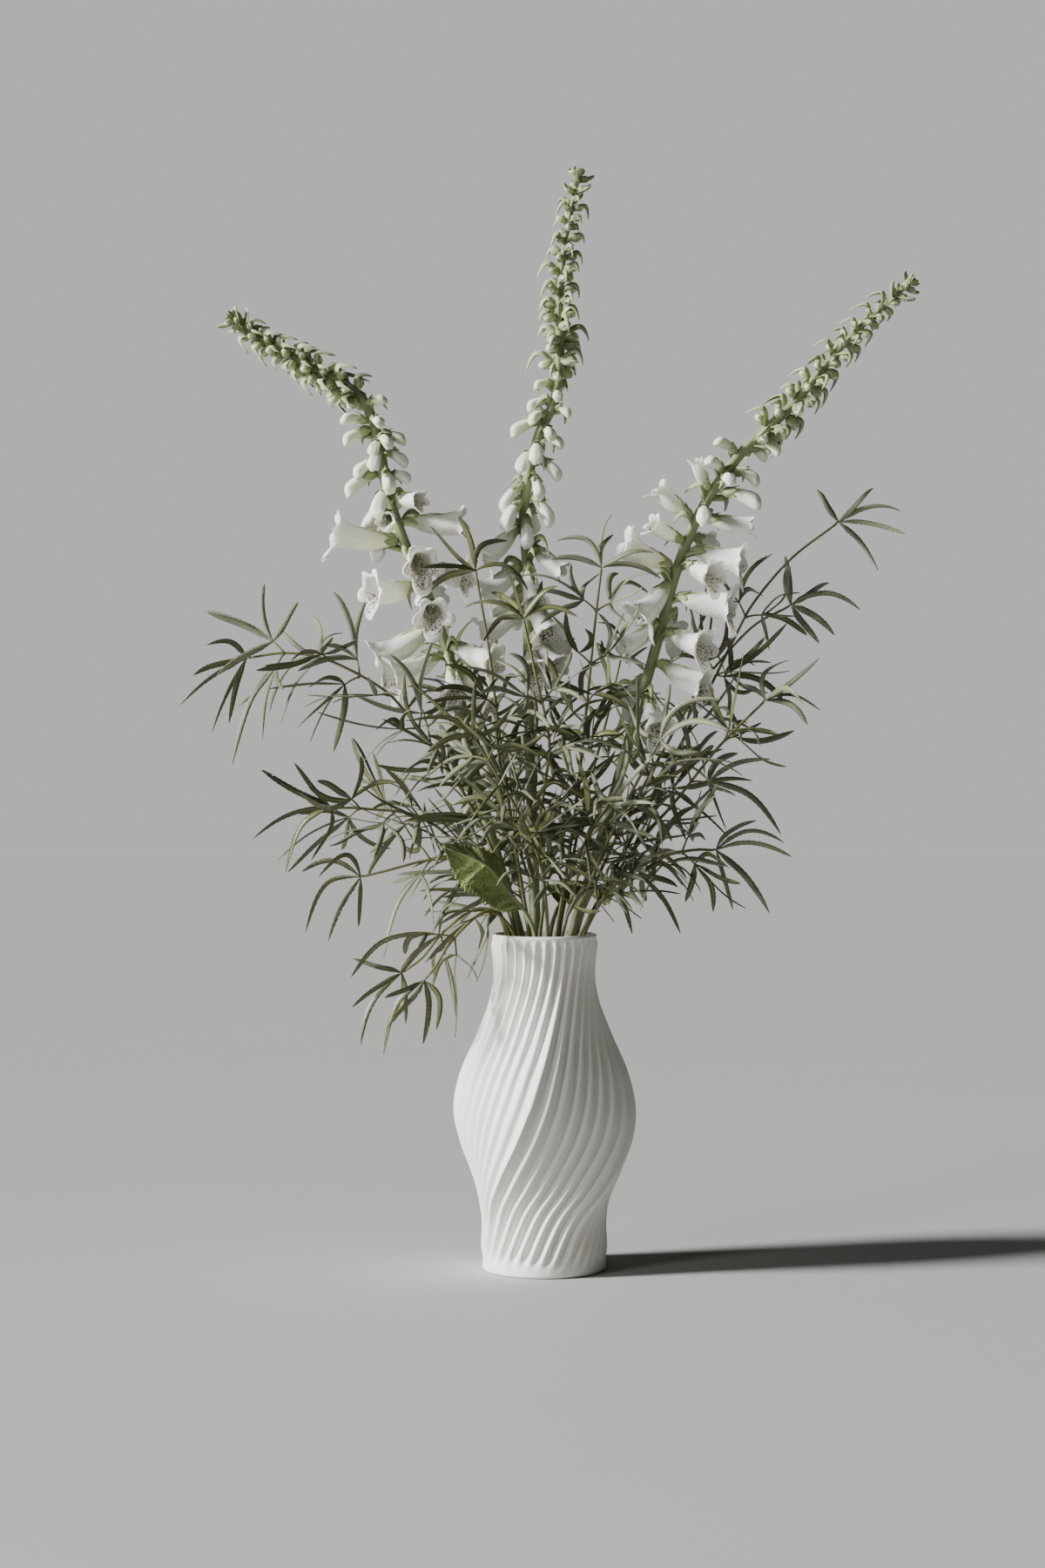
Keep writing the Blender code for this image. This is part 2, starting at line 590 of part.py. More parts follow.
def loft(rings, point_start=False, point_end=False):
    """A solid through rings of points; an end is a point or a flat cap."""
    points = []
    faces = []
    size = len(rings[1])
    starts = []
    for ring in rings:
        starts.append(len(points))
        points.extend(ring)
    for i in range(len(rings) - 1):
        a, b = starts[i], starts[i + 1]
        for k in range(size):
            n = (k + 1) % size
            if i == 0 and point_start:
                faces.append((a, b + n, b + k))
            elif i == len(rings) - 2 and point_end:
                faces.append((a + k, a + n, b))
            else:
                faces.append((a + k, a + n, b + n))
                faces.append((a + k, b + n, b + k))
    if not point_start:
        faces.append(tuple(range(size - 1, -1, -1)))
    if not point_end:
        faces.append(tuple(range(starts[-1], starts[-1] + size)))
    return solid_from(points, faces)


def ring_round(centre, axis, radius, sides):
    """Points of a ring square to an axis."""
    u, v = side_ways(axis)
    return [centre + (u * math.cos(2 * math.pi * k / sides)
                      + v * math.sin(2 * math.pi * k / sides)) * radius
            for k in range(sides)]


def stem_sides(name):
    """How many sides a stem has: more on the thick ones."""
    return 3 if name.startswith("sprig") else 5


def stem_tube(line, radii, sides, extra=0.0):
    """A stem along its line, level rings inside the vase and square ones above."""
    rings = []
    u = Vector((1, 0, 0))
    for k, point in enumerate(line):
        along = (line[min(k + 1, len(line) - 1)] - line[max(k - 1, 0)]).normalized()
        if k < NECK_POINT:
            along = Vector((0, 0, 1))
        u = (u - along * u.dot(along)).normalized()
        v = along.cross(u)
        radius = radii[k] + extra
        rings.append([point + (u * math.cos(2 * math.pi * s / sides)
                               + v * math.sin(2 * math.pi * s / sides)) * radius
                      for s in range(sides)])
    return loft(rings)


def open_bell(root, mouth):
    """A flower on its stalk: a hollow bell with a longer lower lip."""
    axis = (mouth - root).normalized()
    start = root + axis * CALYX_REACH
    length = (mouth - start).length
    girth = min(length, BELL_GIRTH)
    rings = [ring_round(root + axis * far, axis, FLOWER_STALK, BELL_SIDES)
             for far in (0.0, CALYX_REACH * 0.7)]
    for share, wide in BELL_OUTSIDE + BELL_INSIDE:
        ring = ring_round(start + axis * length * share, axis, girth * wide, BELL_SIDES)
        if share > 0.9:
            lip = min(p.z for p in ring) + girth * 0.2
            ring = [p + axis * length * (LOWER_LIP if p.z < lip else 0.0) for p in ring]
        rings.append(ring)
    return loft(rings)


def closed_bud(root, mouth):
    """A closed flower: a long rounded bud, narrow where it leaves the stem."""
    axis = (mouth - root).normalized()
    length = (mouth - root).length
    place, wide = BUD_BELLY
    rings = [ring_round(root, axis, BUD_STALK, BUD_SIDES),
             ring_round(root + axis * length * place, axis, length * wide, BUD_SIDES)]
    return loft(rings + [[mouth]], point_end=True)


def bract(root, way, along, length, rise):
    """A narrow pointed bract that arches out, its tip hooked down, or up in the topmost tuft."""
    side = along.cross(way).normalized()
    middle = root + way * length * 0.6 + along * length * 0.2
    tip = middle + way * length * 0.3 + along * length * rise
    keel = (way * 0.6 - along).normalized()
    rings = []
    for point, half in ((root, BRACT_WIDTH * 0.45), (middle, BRACT_WIDTH * 0.5)):
        rings.append([point + side * half, point - side * half, point + keel * half * 0.9])
    return loft(rings + [[tip]], point_end=True)


def palmate_leaf(node, hub, axis, leaflets):
    """A leaf as one solid: narrow keeled leaflets that fan from a hub, and a short stalk."""
    out = (hub - node).normalized()
    ways = [(chain[1][0] - hub).normalized() for chain in leaflets]
    first = turned(ways[0], axis, -HUB_SIDES)
    last = turned(ways[-1], axis, HUB_SIDES)
    dips = [first] + [(a + b).normalized() for a, b in zip(ways, ways[1:])] + [last]
    reach = [HUB_REACH[0]] + [HUB_REACH[1]] * (len(ways) - 1) + [HUB_REACH[0]]
    points = [hub + axis * height for height in HUB_HEIGHTS]
    points += [hub + dip * far for dip, far in zip(dips, reach)]
    faces = []
    for k, chain in enumerate(leaflets):
        middle, half = chain[1]
        along = (chain[2][0] - hub).normalized()
        side = axis.cross(along).normalized()
        under = along.cross(side).normalized()
        base = len(points)
        points += [middle - side * half, middle + side * half, middle - under * LEAFLET_KEEL,
                   chain[2][0]]
        left, right, keel, tip = base, base + 1, base + 2, base + 3
        dip, after = 2 + k, 3 + k
        faces += [(0, dip, left), (0, left, right), (left, tip, right), (0, right, after)]
        faces += [(1, left, dip), (1, keel, left), (keel, tip, left), (1, right, keel),
                  (1, after, right), (keel, right, tip)]
    ends = (2, 2 + len(ways))
    back = len(points)
    thick, sunk = LEAF_FOOT["end" if (hub - node).length < PETIOLE / 2 else "side"]
    foot = node - out * sunk
    across = axis.cross(out).normalized()
    points += [foot + axis * thick, foot - across * thick, foot - axis * thick,
               foot + across * thick]
    rim = (0, ends[0], 1, ends[1])
    for k in range(4):
        n = (k + 1) % 4
        faces += [(rim[k], back + k, back + n), (rim[k], back + n, rim[n])]
    faces += [(back, back + 3, back + 2), (back, back + 2, back + 1)]
    return solid_from(points, faces)


def broad_blade(line, folded, roll):
    """Points of a toothed leaf blade along its midrib, its two halves raised by the fold."""
    rows = BROAD_ROWS
    start, power = BROAD_SHAPE
    points = []
    for layer in (0.0, -BROAD_THICK):
        for k in range(rows + 1):
            share = k / rows
            point, along = at_share(line, BROAD_BARE + (1 - BROAD_BARE) * share)
            side, upper = (turned(way, along, roll) for way in side_ways(along))
            half = BROAD_WIDTH / 2 * math.sin(math.pi * min(1.0, start + (1 - start) * share) ** power)
            half = max(half, BROAD_LEAST) * BROAD_TEETH[k % 2]
            for across in (-1, 0, 1):
                lift = abs(across) * half * math.sin(folded)
                points.append(point + side * across * half * math.cos(folded)
                              + upper * (lift + layer) + along * (BROAD_SWEEP * abs(across)))
    return points


def broad_leaf_blade(line, folded, roll):
    """A broad leaf's blade as a solid: two toothed halves of one thickness."""
    rows = BROAD_ROWS
    points = broad_blade(line, folded, roll)
    under = 3 * (rows + 1)
    faces = []
    for k in range(rows):
        for c in range(2):
            a = 3 * k + c
            top = [(a, a + 1, a + 4), (a, a + 4, a + 3)]
            faces += top
            faces += [tuple(under + i for i in reversed(t)) for t in top]
    edge = [3 * k for k in range(rows + 1)] + [3 * rows + 1, 3 * rows + 2]
    edge += [3 * k + 2 for k in range(rows - 1, -1, -1)] + [1]
    for a, b in zip(edge, edge[1:] + edge[:1]):
        faces += [(a, b, under + b), (a, under + b, under + a)]
    return solid_from(points, faces)


def paint(name):
    """A plain material of a named colour."""
    material = bpy.data.materials.get(name) or bpy.data.materials.new(name)
    material.use_nodes = True
    colour, roughness = COLOURS[name]
    shader = material.node_tree.nodes["Principled BSDF"]
    shader.inputs["Base Color"].default_value = (*colour, 1)
    shader.inputs["Roughness"].default_value = roughness
    shader.inputs["Metallic"].default_value = 0.0
    return material


def object_from(mesh, name, collection=None):
    """An object that holds a bmesh."""
    data = bpy.data.meshes.new(name)
    bmesh.ops.triangulate(mesh, faces=[f for f in mesh.faces if len(f.verts) > 3])
    mesh.to_mesh(data)
    mesh.free()
    made = bpy.data.objects.new(name, data)
    (collection or bpy.context.scene.collection).objects.link(made)
    return made


def fuse(name, pieces, colour):
    """One solid of a stem and all that grows from it, joined by one Boolean union."""
    body = object_from(pieces[0], name)
    group = bpy.data.collections.new(name + " parts")
    bpy.context.scene.collection.children.link(group)
    for number, piece in enumerate(pieces[1:]):
        object_from(piece, f"{name} part {number}", group)
    join = body.modifiers.new("union", "BOOLEAN")
    join.operation = "UNION"
    join.operand_type = "COLLECTION"
    join.collection = group
    join.solver = "MANIFOLD"
    graph = bpy.context.evaluated_depsgraph_get()
    joined = bpy.data.meshes.new_from_object(body.evaluated_get(graph))
    body.modifiers.clear()
    body.data = joined
    for part in list(group.objects):
        bpy.data.objects.remove(part, do_unlink=True)
    bpy.data.collections.remove(group)
    keep_largest(body)
    finish(body, colour)
    return body


def keep_largest(body):
    """Fills what hollows a union has sealed, and drops its loose scraps."""
    mesh = bmesh.new()
    mesh.from_mesh(body.data)
    left = set(mesh.faces)
    shells = []
    while left:
        shell = {left.pop()}
        front = list(shell)
        while front:
            face = front.pop()
            for edge in face.edges:
                for other in edge.link_faces:
                    if other in left:
                        left.discard(other)
                        shell.add(other)
                        front.append(other)
        shells.append(shell)
    shells.sort(key=len)
    extra = [face for shell in shells[:-1] for face in shell]
    if extra:
        bmesh.ops.delete(mesh, geom=extra, context="FACES")
        loose = [v for v in mesh.verts if not v.link_faces]
        bmesh.ops.delete(mesh, geom=loose, context="VERTS")
        mesh.to_mesh(body.data)
    mesh.free()


def finish(body, colour):
    """Gives an object its material, and rounds its shading."""
    body.data.materials.clear()
    body.data.materials.append(paint(colour))
    body.data.shade_smooth()
    body.data.set_sharp_from_angle(angle=math.radians(40))


def make_vase():
    """One porcelain shell: fluted outside, plain inside, with a flat foot and a round lip."""
    columns = 2 * FLUTES
    foot = CREST_RADIUS[0][1]
    lip = CREST_RADIUS[-1][1]
    rings = [plain_ring(foot - FOOT_EDGE, 0.0), plain_ring(foot, FOOT_EDGE),
             plain_ring(foot, FLUTE_FOOT)]
    for height in OUTER_LEVELS:
        rings.append([vase_point(wall_radius(height, k / columns)
                                 + flute_relief(height, k / columns), height, k / columns)
                      for k in range(columns)])
    rings += [plain_ring(lip, FLUTE_RIM + 0.5), plain_ring(lip - 1.3, VASE_HEIGHT),
              plain_ring(lip - WALL + 1, VASE_HEIGHT)]
    rings += inner_rings(reversed(INNER_LEVELS), 0.0)
    rings.append(plain_ring(foot - WALL - FLOOR_ROUND, FLOOR))
    mesh = bmesh.new()
    rows = [[mesh.verts.new(p * MM) for p in ring] for ring in rings]
    for a, b in zip(rows, rows[1:]):
        bridge(mesh, a, b)
    mesh.faces.new(rows[0])
    mesh.faces.new(rows[-1])
    bmesh.ops.recalc_face_normals(mesh, faces=mesh.faces)
    body = object_from(mesh, "vase")
    finish(body, "porcelain")


def plain_ring(radius, height):
    """A round ring, with a point for every flute."""
    return [vase_point(radius, height, k / FLUTES) for k in range(FLUTES)]


def bridge(mesh, lower, upper):
    """Faces between two rings, of which one may have twice the points of the other."""
    if len(upper) > len(lower):
        lower, upper = upper, lower
    size = len(lower)
    if len(upper) == size:
        for k in range(size):
            n = (k + 1) % size
            mesh.faces.new((lower[k], lower[n], upper[n]))
            mesh.faces.new((lower[k], upper[n], upper[k]))
        return
    for k in range(len(upper)):
        n = (k + 1) % len(upper)
        a, b, c = lower[2 * k], lower[2 * k + 1], lower[(2 * k + 2) % size]
        mesh.faces.new((a, b, upper[k]))
        mesh.faces.new((b, upper[n], upper[k]))
        mesh.faces.new((b, c, upper[n]))


def inner_rings(levels, inset):
    """Rings of the inside, which follows the lobes but not the flutes."""
    return [[vase_point(wall_radius(height, k / FLUTES) - WALL - inset, height, k / FLUTES)
             for k in range(FLUTES)] for height in levels]


def make_water(stems, sizes):
    """The water, up to its level, with a plain hole for each stem."""
    low = [level for level in INNER_LEVELS if level < WATER_LEVEL]
    top_share = (WATER_LEVEL - low[-1]) / (INNER_LEVELS[len(low)] - low[-1])
    wall = inner_rings(INNER_LEVELS, WATER_INSET)
    bottom = CREST_RADIUS[0][1] - WALL - FLOOR_ROUND - WATER_INSET - 0.2
    rings = [plain_ring(bottom, FLOOR + GAP)] + wall[:len(low)]
    rings.append([a.lerp(b, top_share) for a, b in zip(wall[len(low) - 1], wall[len(low)])])
    body = object_from(loft(rings), "water")
    group = bpy.data.collections.new("stem holes")
    bpy.context.scene.collection.children.link(group)
    for name, line in stems.items():
        lowest = line[0] - (line[1] - line[0]).normalized() * 3
        hole = stem_tube([lowest, line[1]], sizes[name][:2], stem_sides(name), HOLE_ROOM)
        object_from(hole, "hole " + name, group)
    cut = body.modifiers.new("holes", "BOOLEAN")
    cut.operation = "DIFFERENCE"
    cut.operand_type = "COLLECTION"
    cut.collection = group
    cut.solver = "MANIFOLD"
    graph = bpy.context.evaluated_depsgraph_get()
    body.data = bpy.data.meshes.new_from_object(body.evaluated_get(graph))
    body.modifiers.clear()
    for part in list(group.objects):
        bpy.data.objects.remove(part, do_unlink=True)
    bpy.data.collections.remove(group)
    finish(body, "water")


def make_foxglove(name, line, radii, flowers):
    """A foxglove: stem, open bells low, closed ones above, buds and bracts to the tip."""
    high = [k for k, p in enumerate(line) if p.z > SPIKE_START[name]]
    core = tapered(len(high), SPIKE_CORE)
    radii = list(radii[:high[0]]) + core
    pieces = [stem_tube(line, radii, stem_sides("foxglove"))]
    for root, mouth, opened in flowers:
        pieces.append(open_bell(root, mouth) if opened > OPEN_FROM else closed_bud(root, mouth))
    pieces += spike_top(name, line)
    return fuse("foxglove_" + name, pieces, "foxglove")


def spike_top(name, line):
    """Buds and hooked bracts that wind up the top of a spike, smaller towards its tip."""
    pieces = []
    start = next(k for k, p in enumerate(line) if p.z > SPIKE_START[name])
    top = [at_height(line, SPIKE_START[name])[0]] + line[start:]
    for k in range(SPIKE_BUDS):
        share = (k / SPIKE_BUDS) ** 0.9 * 0.97
        root, along = at_share(top, share)
        level, _ = side_ways(along)
        way = turned(level, along, SPIKE_TURN * k)
        size = SPIKE_BUD[0] * (1 - share) + SPIKE_BUD[1] * share
        out = (way + along * SPIKE_LEAN).normalized()
        pieces.append(closed_bud(root, root + out * (size + 2)))
        lower = turned(way, along, BRACT_TURN)
        rise = BRACT_RISE[1] if share > TUFT_FROM else BRACT_RISE[0]
        pieces.append(bract(root - along * BRACT_DROP, lower, along, size * BRACT_LENGTH, rise))
    return pieces


def make_sprig(name, line, radii, leaves):
    """A leafy sprig: a thin stem and its palmate leaves."""
    pieces = [stem_tube(line, radii, stem_sides(name))]
    pieces += [palmate_leaf(*leaf) for leaf in leaves]
    return fuse(name, pieces, "sprig")


def make_broad_leaf(name, line, radii, folded, roll):
    """A broad foxglove leaf: a long stalk that runs on as the midrib, and a toothed blade."""
    above = [p for p in line if p.z > VASE_HEIGHT + 4 or p is line[-1]]
    pieces = [stem_tube(line, radii, stem_sides(name)), broad_leaf_blade(above, folded, roll)]
    return fuse(name, pieces, "broad leaf")


def main():
    for old in list(bpy.data.objects):
        bpy.data.objects.remove(old, do_unlink=True)
    stems, sizes, flowers, leaves = grow()
    make_vase()
    make_water(stems, sizes)
    for name in FOXGLOVES:
        full = "foxglove_" + name
        make_foxglove(name, stems[full], sizes[full], flowers[full])
    for full, growth in leaves.items():
        make_sprig(full, stems[full], sizes[full], growth)
    for name, folded in BROAD_FOLD.items():
        full = "broad_leaf_" + name
        make_broad_leaf(full, stems[full], sizes[full], folded, BROAD_ROLL[name])


main()
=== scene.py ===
"""Vase of foxglove, dressed: the vase, its water, the foxgloves, their broad leaves and the sprigs.

Metres, +Z up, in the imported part's own frame. Routes and sizes are in millimetres, as they are
planned for the solids, and each piece here grows on the same stems as the solid that it replaces.
"""
import functools
import json
import math
import random

import bpy
import numpy as np
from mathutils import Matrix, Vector

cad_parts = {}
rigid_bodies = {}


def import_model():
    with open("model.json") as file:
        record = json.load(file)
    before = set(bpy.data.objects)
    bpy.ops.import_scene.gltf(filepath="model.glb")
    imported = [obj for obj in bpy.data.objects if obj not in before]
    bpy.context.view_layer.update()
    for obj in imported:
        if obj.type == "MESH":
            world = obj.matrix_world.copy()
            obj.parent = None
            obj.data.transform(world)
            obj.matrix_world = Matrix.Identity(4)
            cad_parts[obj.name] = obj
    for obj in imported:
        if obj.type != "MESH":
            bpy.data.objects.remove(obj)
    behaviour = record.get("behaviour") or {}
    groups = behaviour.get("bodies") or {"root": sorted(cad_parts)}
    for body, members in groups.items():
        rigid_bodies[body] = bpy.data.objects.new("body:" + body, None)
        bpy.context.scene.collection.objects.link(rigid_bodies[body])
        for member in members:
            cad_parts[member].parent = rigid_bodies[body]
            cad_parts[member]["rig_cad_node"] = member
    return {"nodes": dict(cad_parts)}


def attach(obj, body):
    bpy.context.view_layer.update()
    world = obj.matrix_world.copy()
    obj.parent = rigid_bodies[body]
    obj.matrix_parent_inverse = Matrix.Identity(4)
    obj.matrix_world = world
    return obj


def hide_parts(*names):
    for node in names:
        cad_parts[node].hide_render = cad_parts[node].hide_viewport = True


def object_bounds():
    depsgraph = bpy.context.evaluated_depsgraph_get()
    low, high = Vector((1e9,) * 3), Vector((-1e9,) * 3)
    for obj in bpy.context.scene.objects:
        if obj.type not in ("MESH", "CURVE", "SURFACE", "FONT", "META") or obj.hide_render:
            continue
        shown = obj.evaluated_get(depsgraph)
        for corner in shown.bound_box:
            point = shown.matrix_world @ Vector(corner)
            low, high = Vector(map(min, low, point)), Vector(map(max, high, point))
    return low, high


bl_info = {
    "name": "Vase of foxglove",
    "version": (1, 0, 0),
    "blender": (4, 5, 0),
    "location": "3D View > Sidebar > Foxglove",
    "description": "A twisted, fluted porcelain vase of white foxglove and narrow-leaved sprigs",
    "category": "Add Mesh",
}

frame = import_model()
CAD_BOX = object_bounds()

# A millimetre in metres, and the room under a stem's foot on the vase's floor.
MM = 0.001
FOOT_GAP = 0.35

# Vase: height against crest radius, turn of the four crests, and how square the section is.
# The flutes rise from nothing over the first of their runs, and fade out over the second. The edge
# of the foot, the corner of the floor within and the lip are rounded, each in so many steps, and the
# plain inside begins below the lip.
VASE_HEIGHT = 300.0
CREST_RADIUS = ((0, 55.2), (30, 55.6), (50, 59.0), (78, 70.0), (110, 78.8), (140, 81.2), (174, 73.8),
                (211, 58.2), (245, 46.8), (268, 43.9), (300, 47.0))
CREST_TURN = ((0, -75), (26, -65), (54, -52), (79, -36.5), (115, -20), (150, -9.6), (177, -3.6),
              (216, 6.4), (267, 21), (300, 24))
SQUARENESS = ((0, 0.0), (20, 0.02), (50, 0.09), (80, 0.15), (130, 0.17), (180, 0.165), (211, 0.13),
              (245, 0.05), (275, 0.01), (300, 0.0))
CREST_SHARPNESS = 1.1
FLUTES = 32
FLUTE_DEPTH = 1.7
FLUTE_FOOT = 9.0
FLUTE_RIM = 296.5
FLUTE_RUNS = (12.0, 6.0)
WALL = 4.6
FLOOR = 7.0
FLOOR_ROUND = 3.0
FOOT_EDGE = 3.0
LIP_HEIGHT = 2.3
INSIDE_TOP = FLUTE_RIM - 6
ROUND_STEPS = 5
LIP_STEPS = 9

# Stems: each passes the neck, turned a little round the axis above its foot on the vase's floor.
# A stem's two radii are those of its foot and of its tip.
NECK_HEIGHT = 285.0
NECK_POINT = 2
NECK_REACH = 0.97
FOOT_REACH = 0.98
STEM_STEP = 44.0
SPIRAL_TURN = math.radians(-38)
FOXGLOVE_STEM = (5.2, 4.2)
SPRIG_STEM = (1.9, 1.1)

# Least room between two stems, between a stem and the neck, round a flower, round a leaf, and
# between the leaves of one sprig, which may just touch.
STEM_ROOM = 1.6
NECK_ROOM = 1.5
FLOWER_ROOM = 1.2
LEAF_ROOM = 0.6
OWN_ROOM = -0.4
EASE_ROUNDS = 60

# Foxgloves: where each passes the neck, then the points of its route (right, back, up).
FOXGLOVES = {
    "left": [(-23, 4, 300), (-43, 2, 370), (-64, 0, 450), (-83, -4, 540), (-106, -6, 606),
             (-124, -6, 647), (-140, -6, 695), (-148, -6, 741), (-165, -5, 779), (-211, -3, 806),
             (-257, 0, 832), (-282, 0, 851)],
    "centre": [(-8, 6, 300), (-11, 6, 400), (-14, 5, 520), (-15, 4, 620), (-18, 2, 682),
               (-6, 2, 741), (10, 2, 779), (14, 2, 830), (13, 2, 860), (19, 2, 920), (32, 3, 981)],
    "right": [(26, 6, 300), (50, 8, 380), (73, 6, 462), (91, 4, 525), (105, 2, 576),
              (117, 2, 621), (139, 2, 676), (175, 2, 728), (218, 4, 768), (271, 6, 830),
              (331, 8, 884)],
}

# Flowers: height on the stem, the way from there to the mouth (right, forward, up), and how far
# each has opened, from 0 for a bud to 1 for a bell. Above a certain stage it is made as a bell. The
# calyx of each reaches the same way out from the stem.
FLOWERS = {
    "left": [(548, (8, 24, -36), 1), (552, (-50, 20, -24), 1), (576, (-54, 14, -30), 1),
             (560, (34, 34, -22), 1), (584, (46, 8, -32), 1), (598, (6, 46, -16), 1),
             (540, (30, 22, -38), 1), (610, (-46, 30, -6), 1),
             (624, (14, -38, -22), 1), (630, (48, 18, -12), 1), (642, (16, 44, -16), 1),
             (648, (-62, 8, 10), 1), (664, (-20, -36, -12), 1), (668, (58, 8, -2), 0.7),
             (676, (-6, 36, -10), 0.7), (690, (28, 28, -6), 0.6), (690, (-30, 8, -26), 0.3),
             (700, (20, -24, -8), 0.3), (706, (20, 14, 4), 0.3), (712, (-34, 6, -12), 0.2),
             (722, (-25, 8, -8), 0.2), (730, (24, 8, -6), 0.2), (738, (-4, 22, -6), 0.1),
             (744, (24, 2, 0), 0.1), (748, (-26, 6, -4), 0.1), (754, (-22, 10, 8), 0.1),
             (762, (2, -22, 2), 0.1), (770, (17, 8, 8), 0.0)],
    "centre": [(560, (-24, 28, -28), 1), (572, (8, 32, -34), 1), (584, (30, -22, -30), 1),
               (596, (-38, 12, -28), 1), (606, (20, 22, -40), 1), (618, (-14, -34, -28), 1),
               (632, (-36, 14, -28), 0.9), (638, (12, 18, -42), 0.8), (650, (32, 10, -26), 0.6),
               (668, (-36, 10, -34), 1), (676, (4, 16, -26), 0.3), (684, (10, -26, -16), 0.3),
               (694, (26, 6, -22), 0.3), (706, (-28, 6, -22), 0.3), (712, (10, 16, -18), 0.2),
               (722, (-8, -24, -10), 0.2), (738, (-32, 4, -4), 0.3), (746, (20, 6, -6), 0.1),
               (758, (-30, 4, -5), 0.1), (770, (16, 5, -3), 0.1), (776, (-22, 4, -2), 0.1),
               (782, (2, 18, -2), 0.0), (790, (-17, 4, 2), 0.0), (794, (4, -17, 0), 0.0)],
    "right": [(520, (12, 26, -38), 1), (534, (-20, -32, -24), 1), (545, (46, 20, -24), 1),
              (572, (38, 30, -16), 1), (580, (-36, 12, -24), 0.9), (590, (10, -38, -22), 1),
              (602, (54, 16, -10), 1), (618, (-34, 12, -36), 1), (626, (-48, 10, 20), 1),
              (632, (28, 32, -14), 0.9), (644, (50, 12, -12), 1), (648, (-32, 20, 16), 0.8),
              (656, (16, -36, -6), 0.8), (668, (-34, 6, 28), 0.7), (672, (46, 4, -8), 0.5),
              (690, (-14, 10, 30), 0.5), (694, (40, 4, -2), 0.4), (704, (6, 26, 4), 0.3),
              (716, (24, 8, -8), 0.1), (726, (-16, 8, 16), 0.1), (734, (16, -12, -4), 0.1),
              (742, (20, 4, -8), 0.1)],
}
OPEN_FROM = 0.45
CALYX_REACH = 10.0

# A bell's girth is its length, up to this limit. A flower's stalk keeps room of this radius.
BELL_GIRTH = 46.0
FLOWER_STALK = 1.5

# The room of a bell and of a bud at its middle and its mouth, as shares of its length; how far it
# may reach into the room of its own stem's flowers; and how far it may be turned about the stem.
BELL_ROOM = (0.27, 0.36)
BUD_ROOM = (0.25, 0.15)
NEIGHBOUR_ROOMS = (-0.5, -3.0, -12.0)
SWINGS = (0, 12, -12, 24, -24, 36, -36, 50, -50, 65, -65, 85, -85)
FLOWER_SWINGS = [(room, swing) for room in NEIGHBOUR_ROOMS for swing in SWINGS]

# Spikes: the height at which the buds and bracts of each begin, and, at its foot and its tip, the
# stem's radius, the room kept from flowers and the room kept from leaves, which begins a little
# below. Each bud is turned by so many degrees from the last. The topmost bracts form a tuft.
SPIKE_START = {"left": 776, "centre": 798, "right": 744}
SPIKE_CORE = (4.3, 1.5)
SPIKE_ROOM = (15.0, 7.0)
SPIKE_REACH = (22.0, 12.0)
SPIKE_ROOM_BELOW = 20.0
SPIKE_TURN = 137.5
TUFT_FROM = 0.86

# Sprigs: where each passes the neck, then the points of its route (right, back, up).
SPRIGS = {
    "left_high": [(-25, -8, 300), (-51, -20, 387), (-97, -35, 465), (-144, -45, 519),
                  (-190, -50, 543), (-226, -50, 549), (-258, -50, 545)],
    "left_middle": [(-33, 8, 300), (-62, 16, 362), (-108, 20, 402), (-160, 12, 411),
                    (-188, 8, 412)],
    "left_low": [(-34, -1, 300), (-52, -6, 345), (-76, -12, 366), (-104, -16, 366),
                 (-140, -20, 357), (-160, -20, 352)],
    "rim_left": [(-31, -12, 300), (-42, -14, 319), (-63, -16, 322), (-90, -18, 302),
                 (-108, -20, 280), (-124, -22, 268)],
    "rim_front": [(-26, -20, 300), (-38, -27, 319), (-58, -37, 319), (-82, -44, 296),
                  (-96, -46, 274), (-104, -46, 264)],
    "centre_left": [(-13, -14, 300), (-27, -30, 387), (-39, -40, 472), (-50, -46, 560),
                    (-60, -48, 618)],
    "centre_front": [(-4, -26, 300), (-4, -48, 400), (4, -64, 472), (-8, -72, 530),
                     (-18, -72, 575)],
    "centre_right": [(11, -10, 300), (26, -20, 400), (36, -24, 490), (44, -22, 570),
                     (50, -20, 622)],
    "right_high": [(34, 10, 300), (72, 28, 371), (114, 42, 449), (154, 46, 527), (190, 42, 597),
                   (223, 36, 636), (263, 30, 667)],
    "right_second": [(28, 20, 300), (64, 52, 380), (108, 74, 460), (150, 82, 530),
                     (190, 74, 575), (223, 62, 594)],
    "right_middle": [(36, -1, 300), (72, -6, 365), (118, -10, 420), (156, -14, 468),
                     (194, -16, 506)],
    "right_low": [(32, -12, 300), (62, -26, 345), (98, -36, 368), (130, -40, 376),
                  (148, -40, 376)],
    "right_droop": [(16, -30, 300), (28, -50, 350), (40, -66, 392), (54, -78, 416)],
    "back_left": [(-14, 22, 300), (-34, 60, 390), (-60, 95, 470), (-85, 120, 540)],
    "back_right": [(14, 26, 300), (34, 75, 400), (56, 115, 480), (72, 140, 545)],
    "back_low": [(-6, 33, 300), (-14, 74, 360), (-22, 118, 402), (-28, 155, 414)],
    "front_left": [(3, -34, 300), (-4, -68, 366), (-30, -96, 424), (-60, -108, 474)],
    "front_right": [(24, -22, 300), (50, -50, 372), (74, -74, 425), (98, -86, 470)],
}

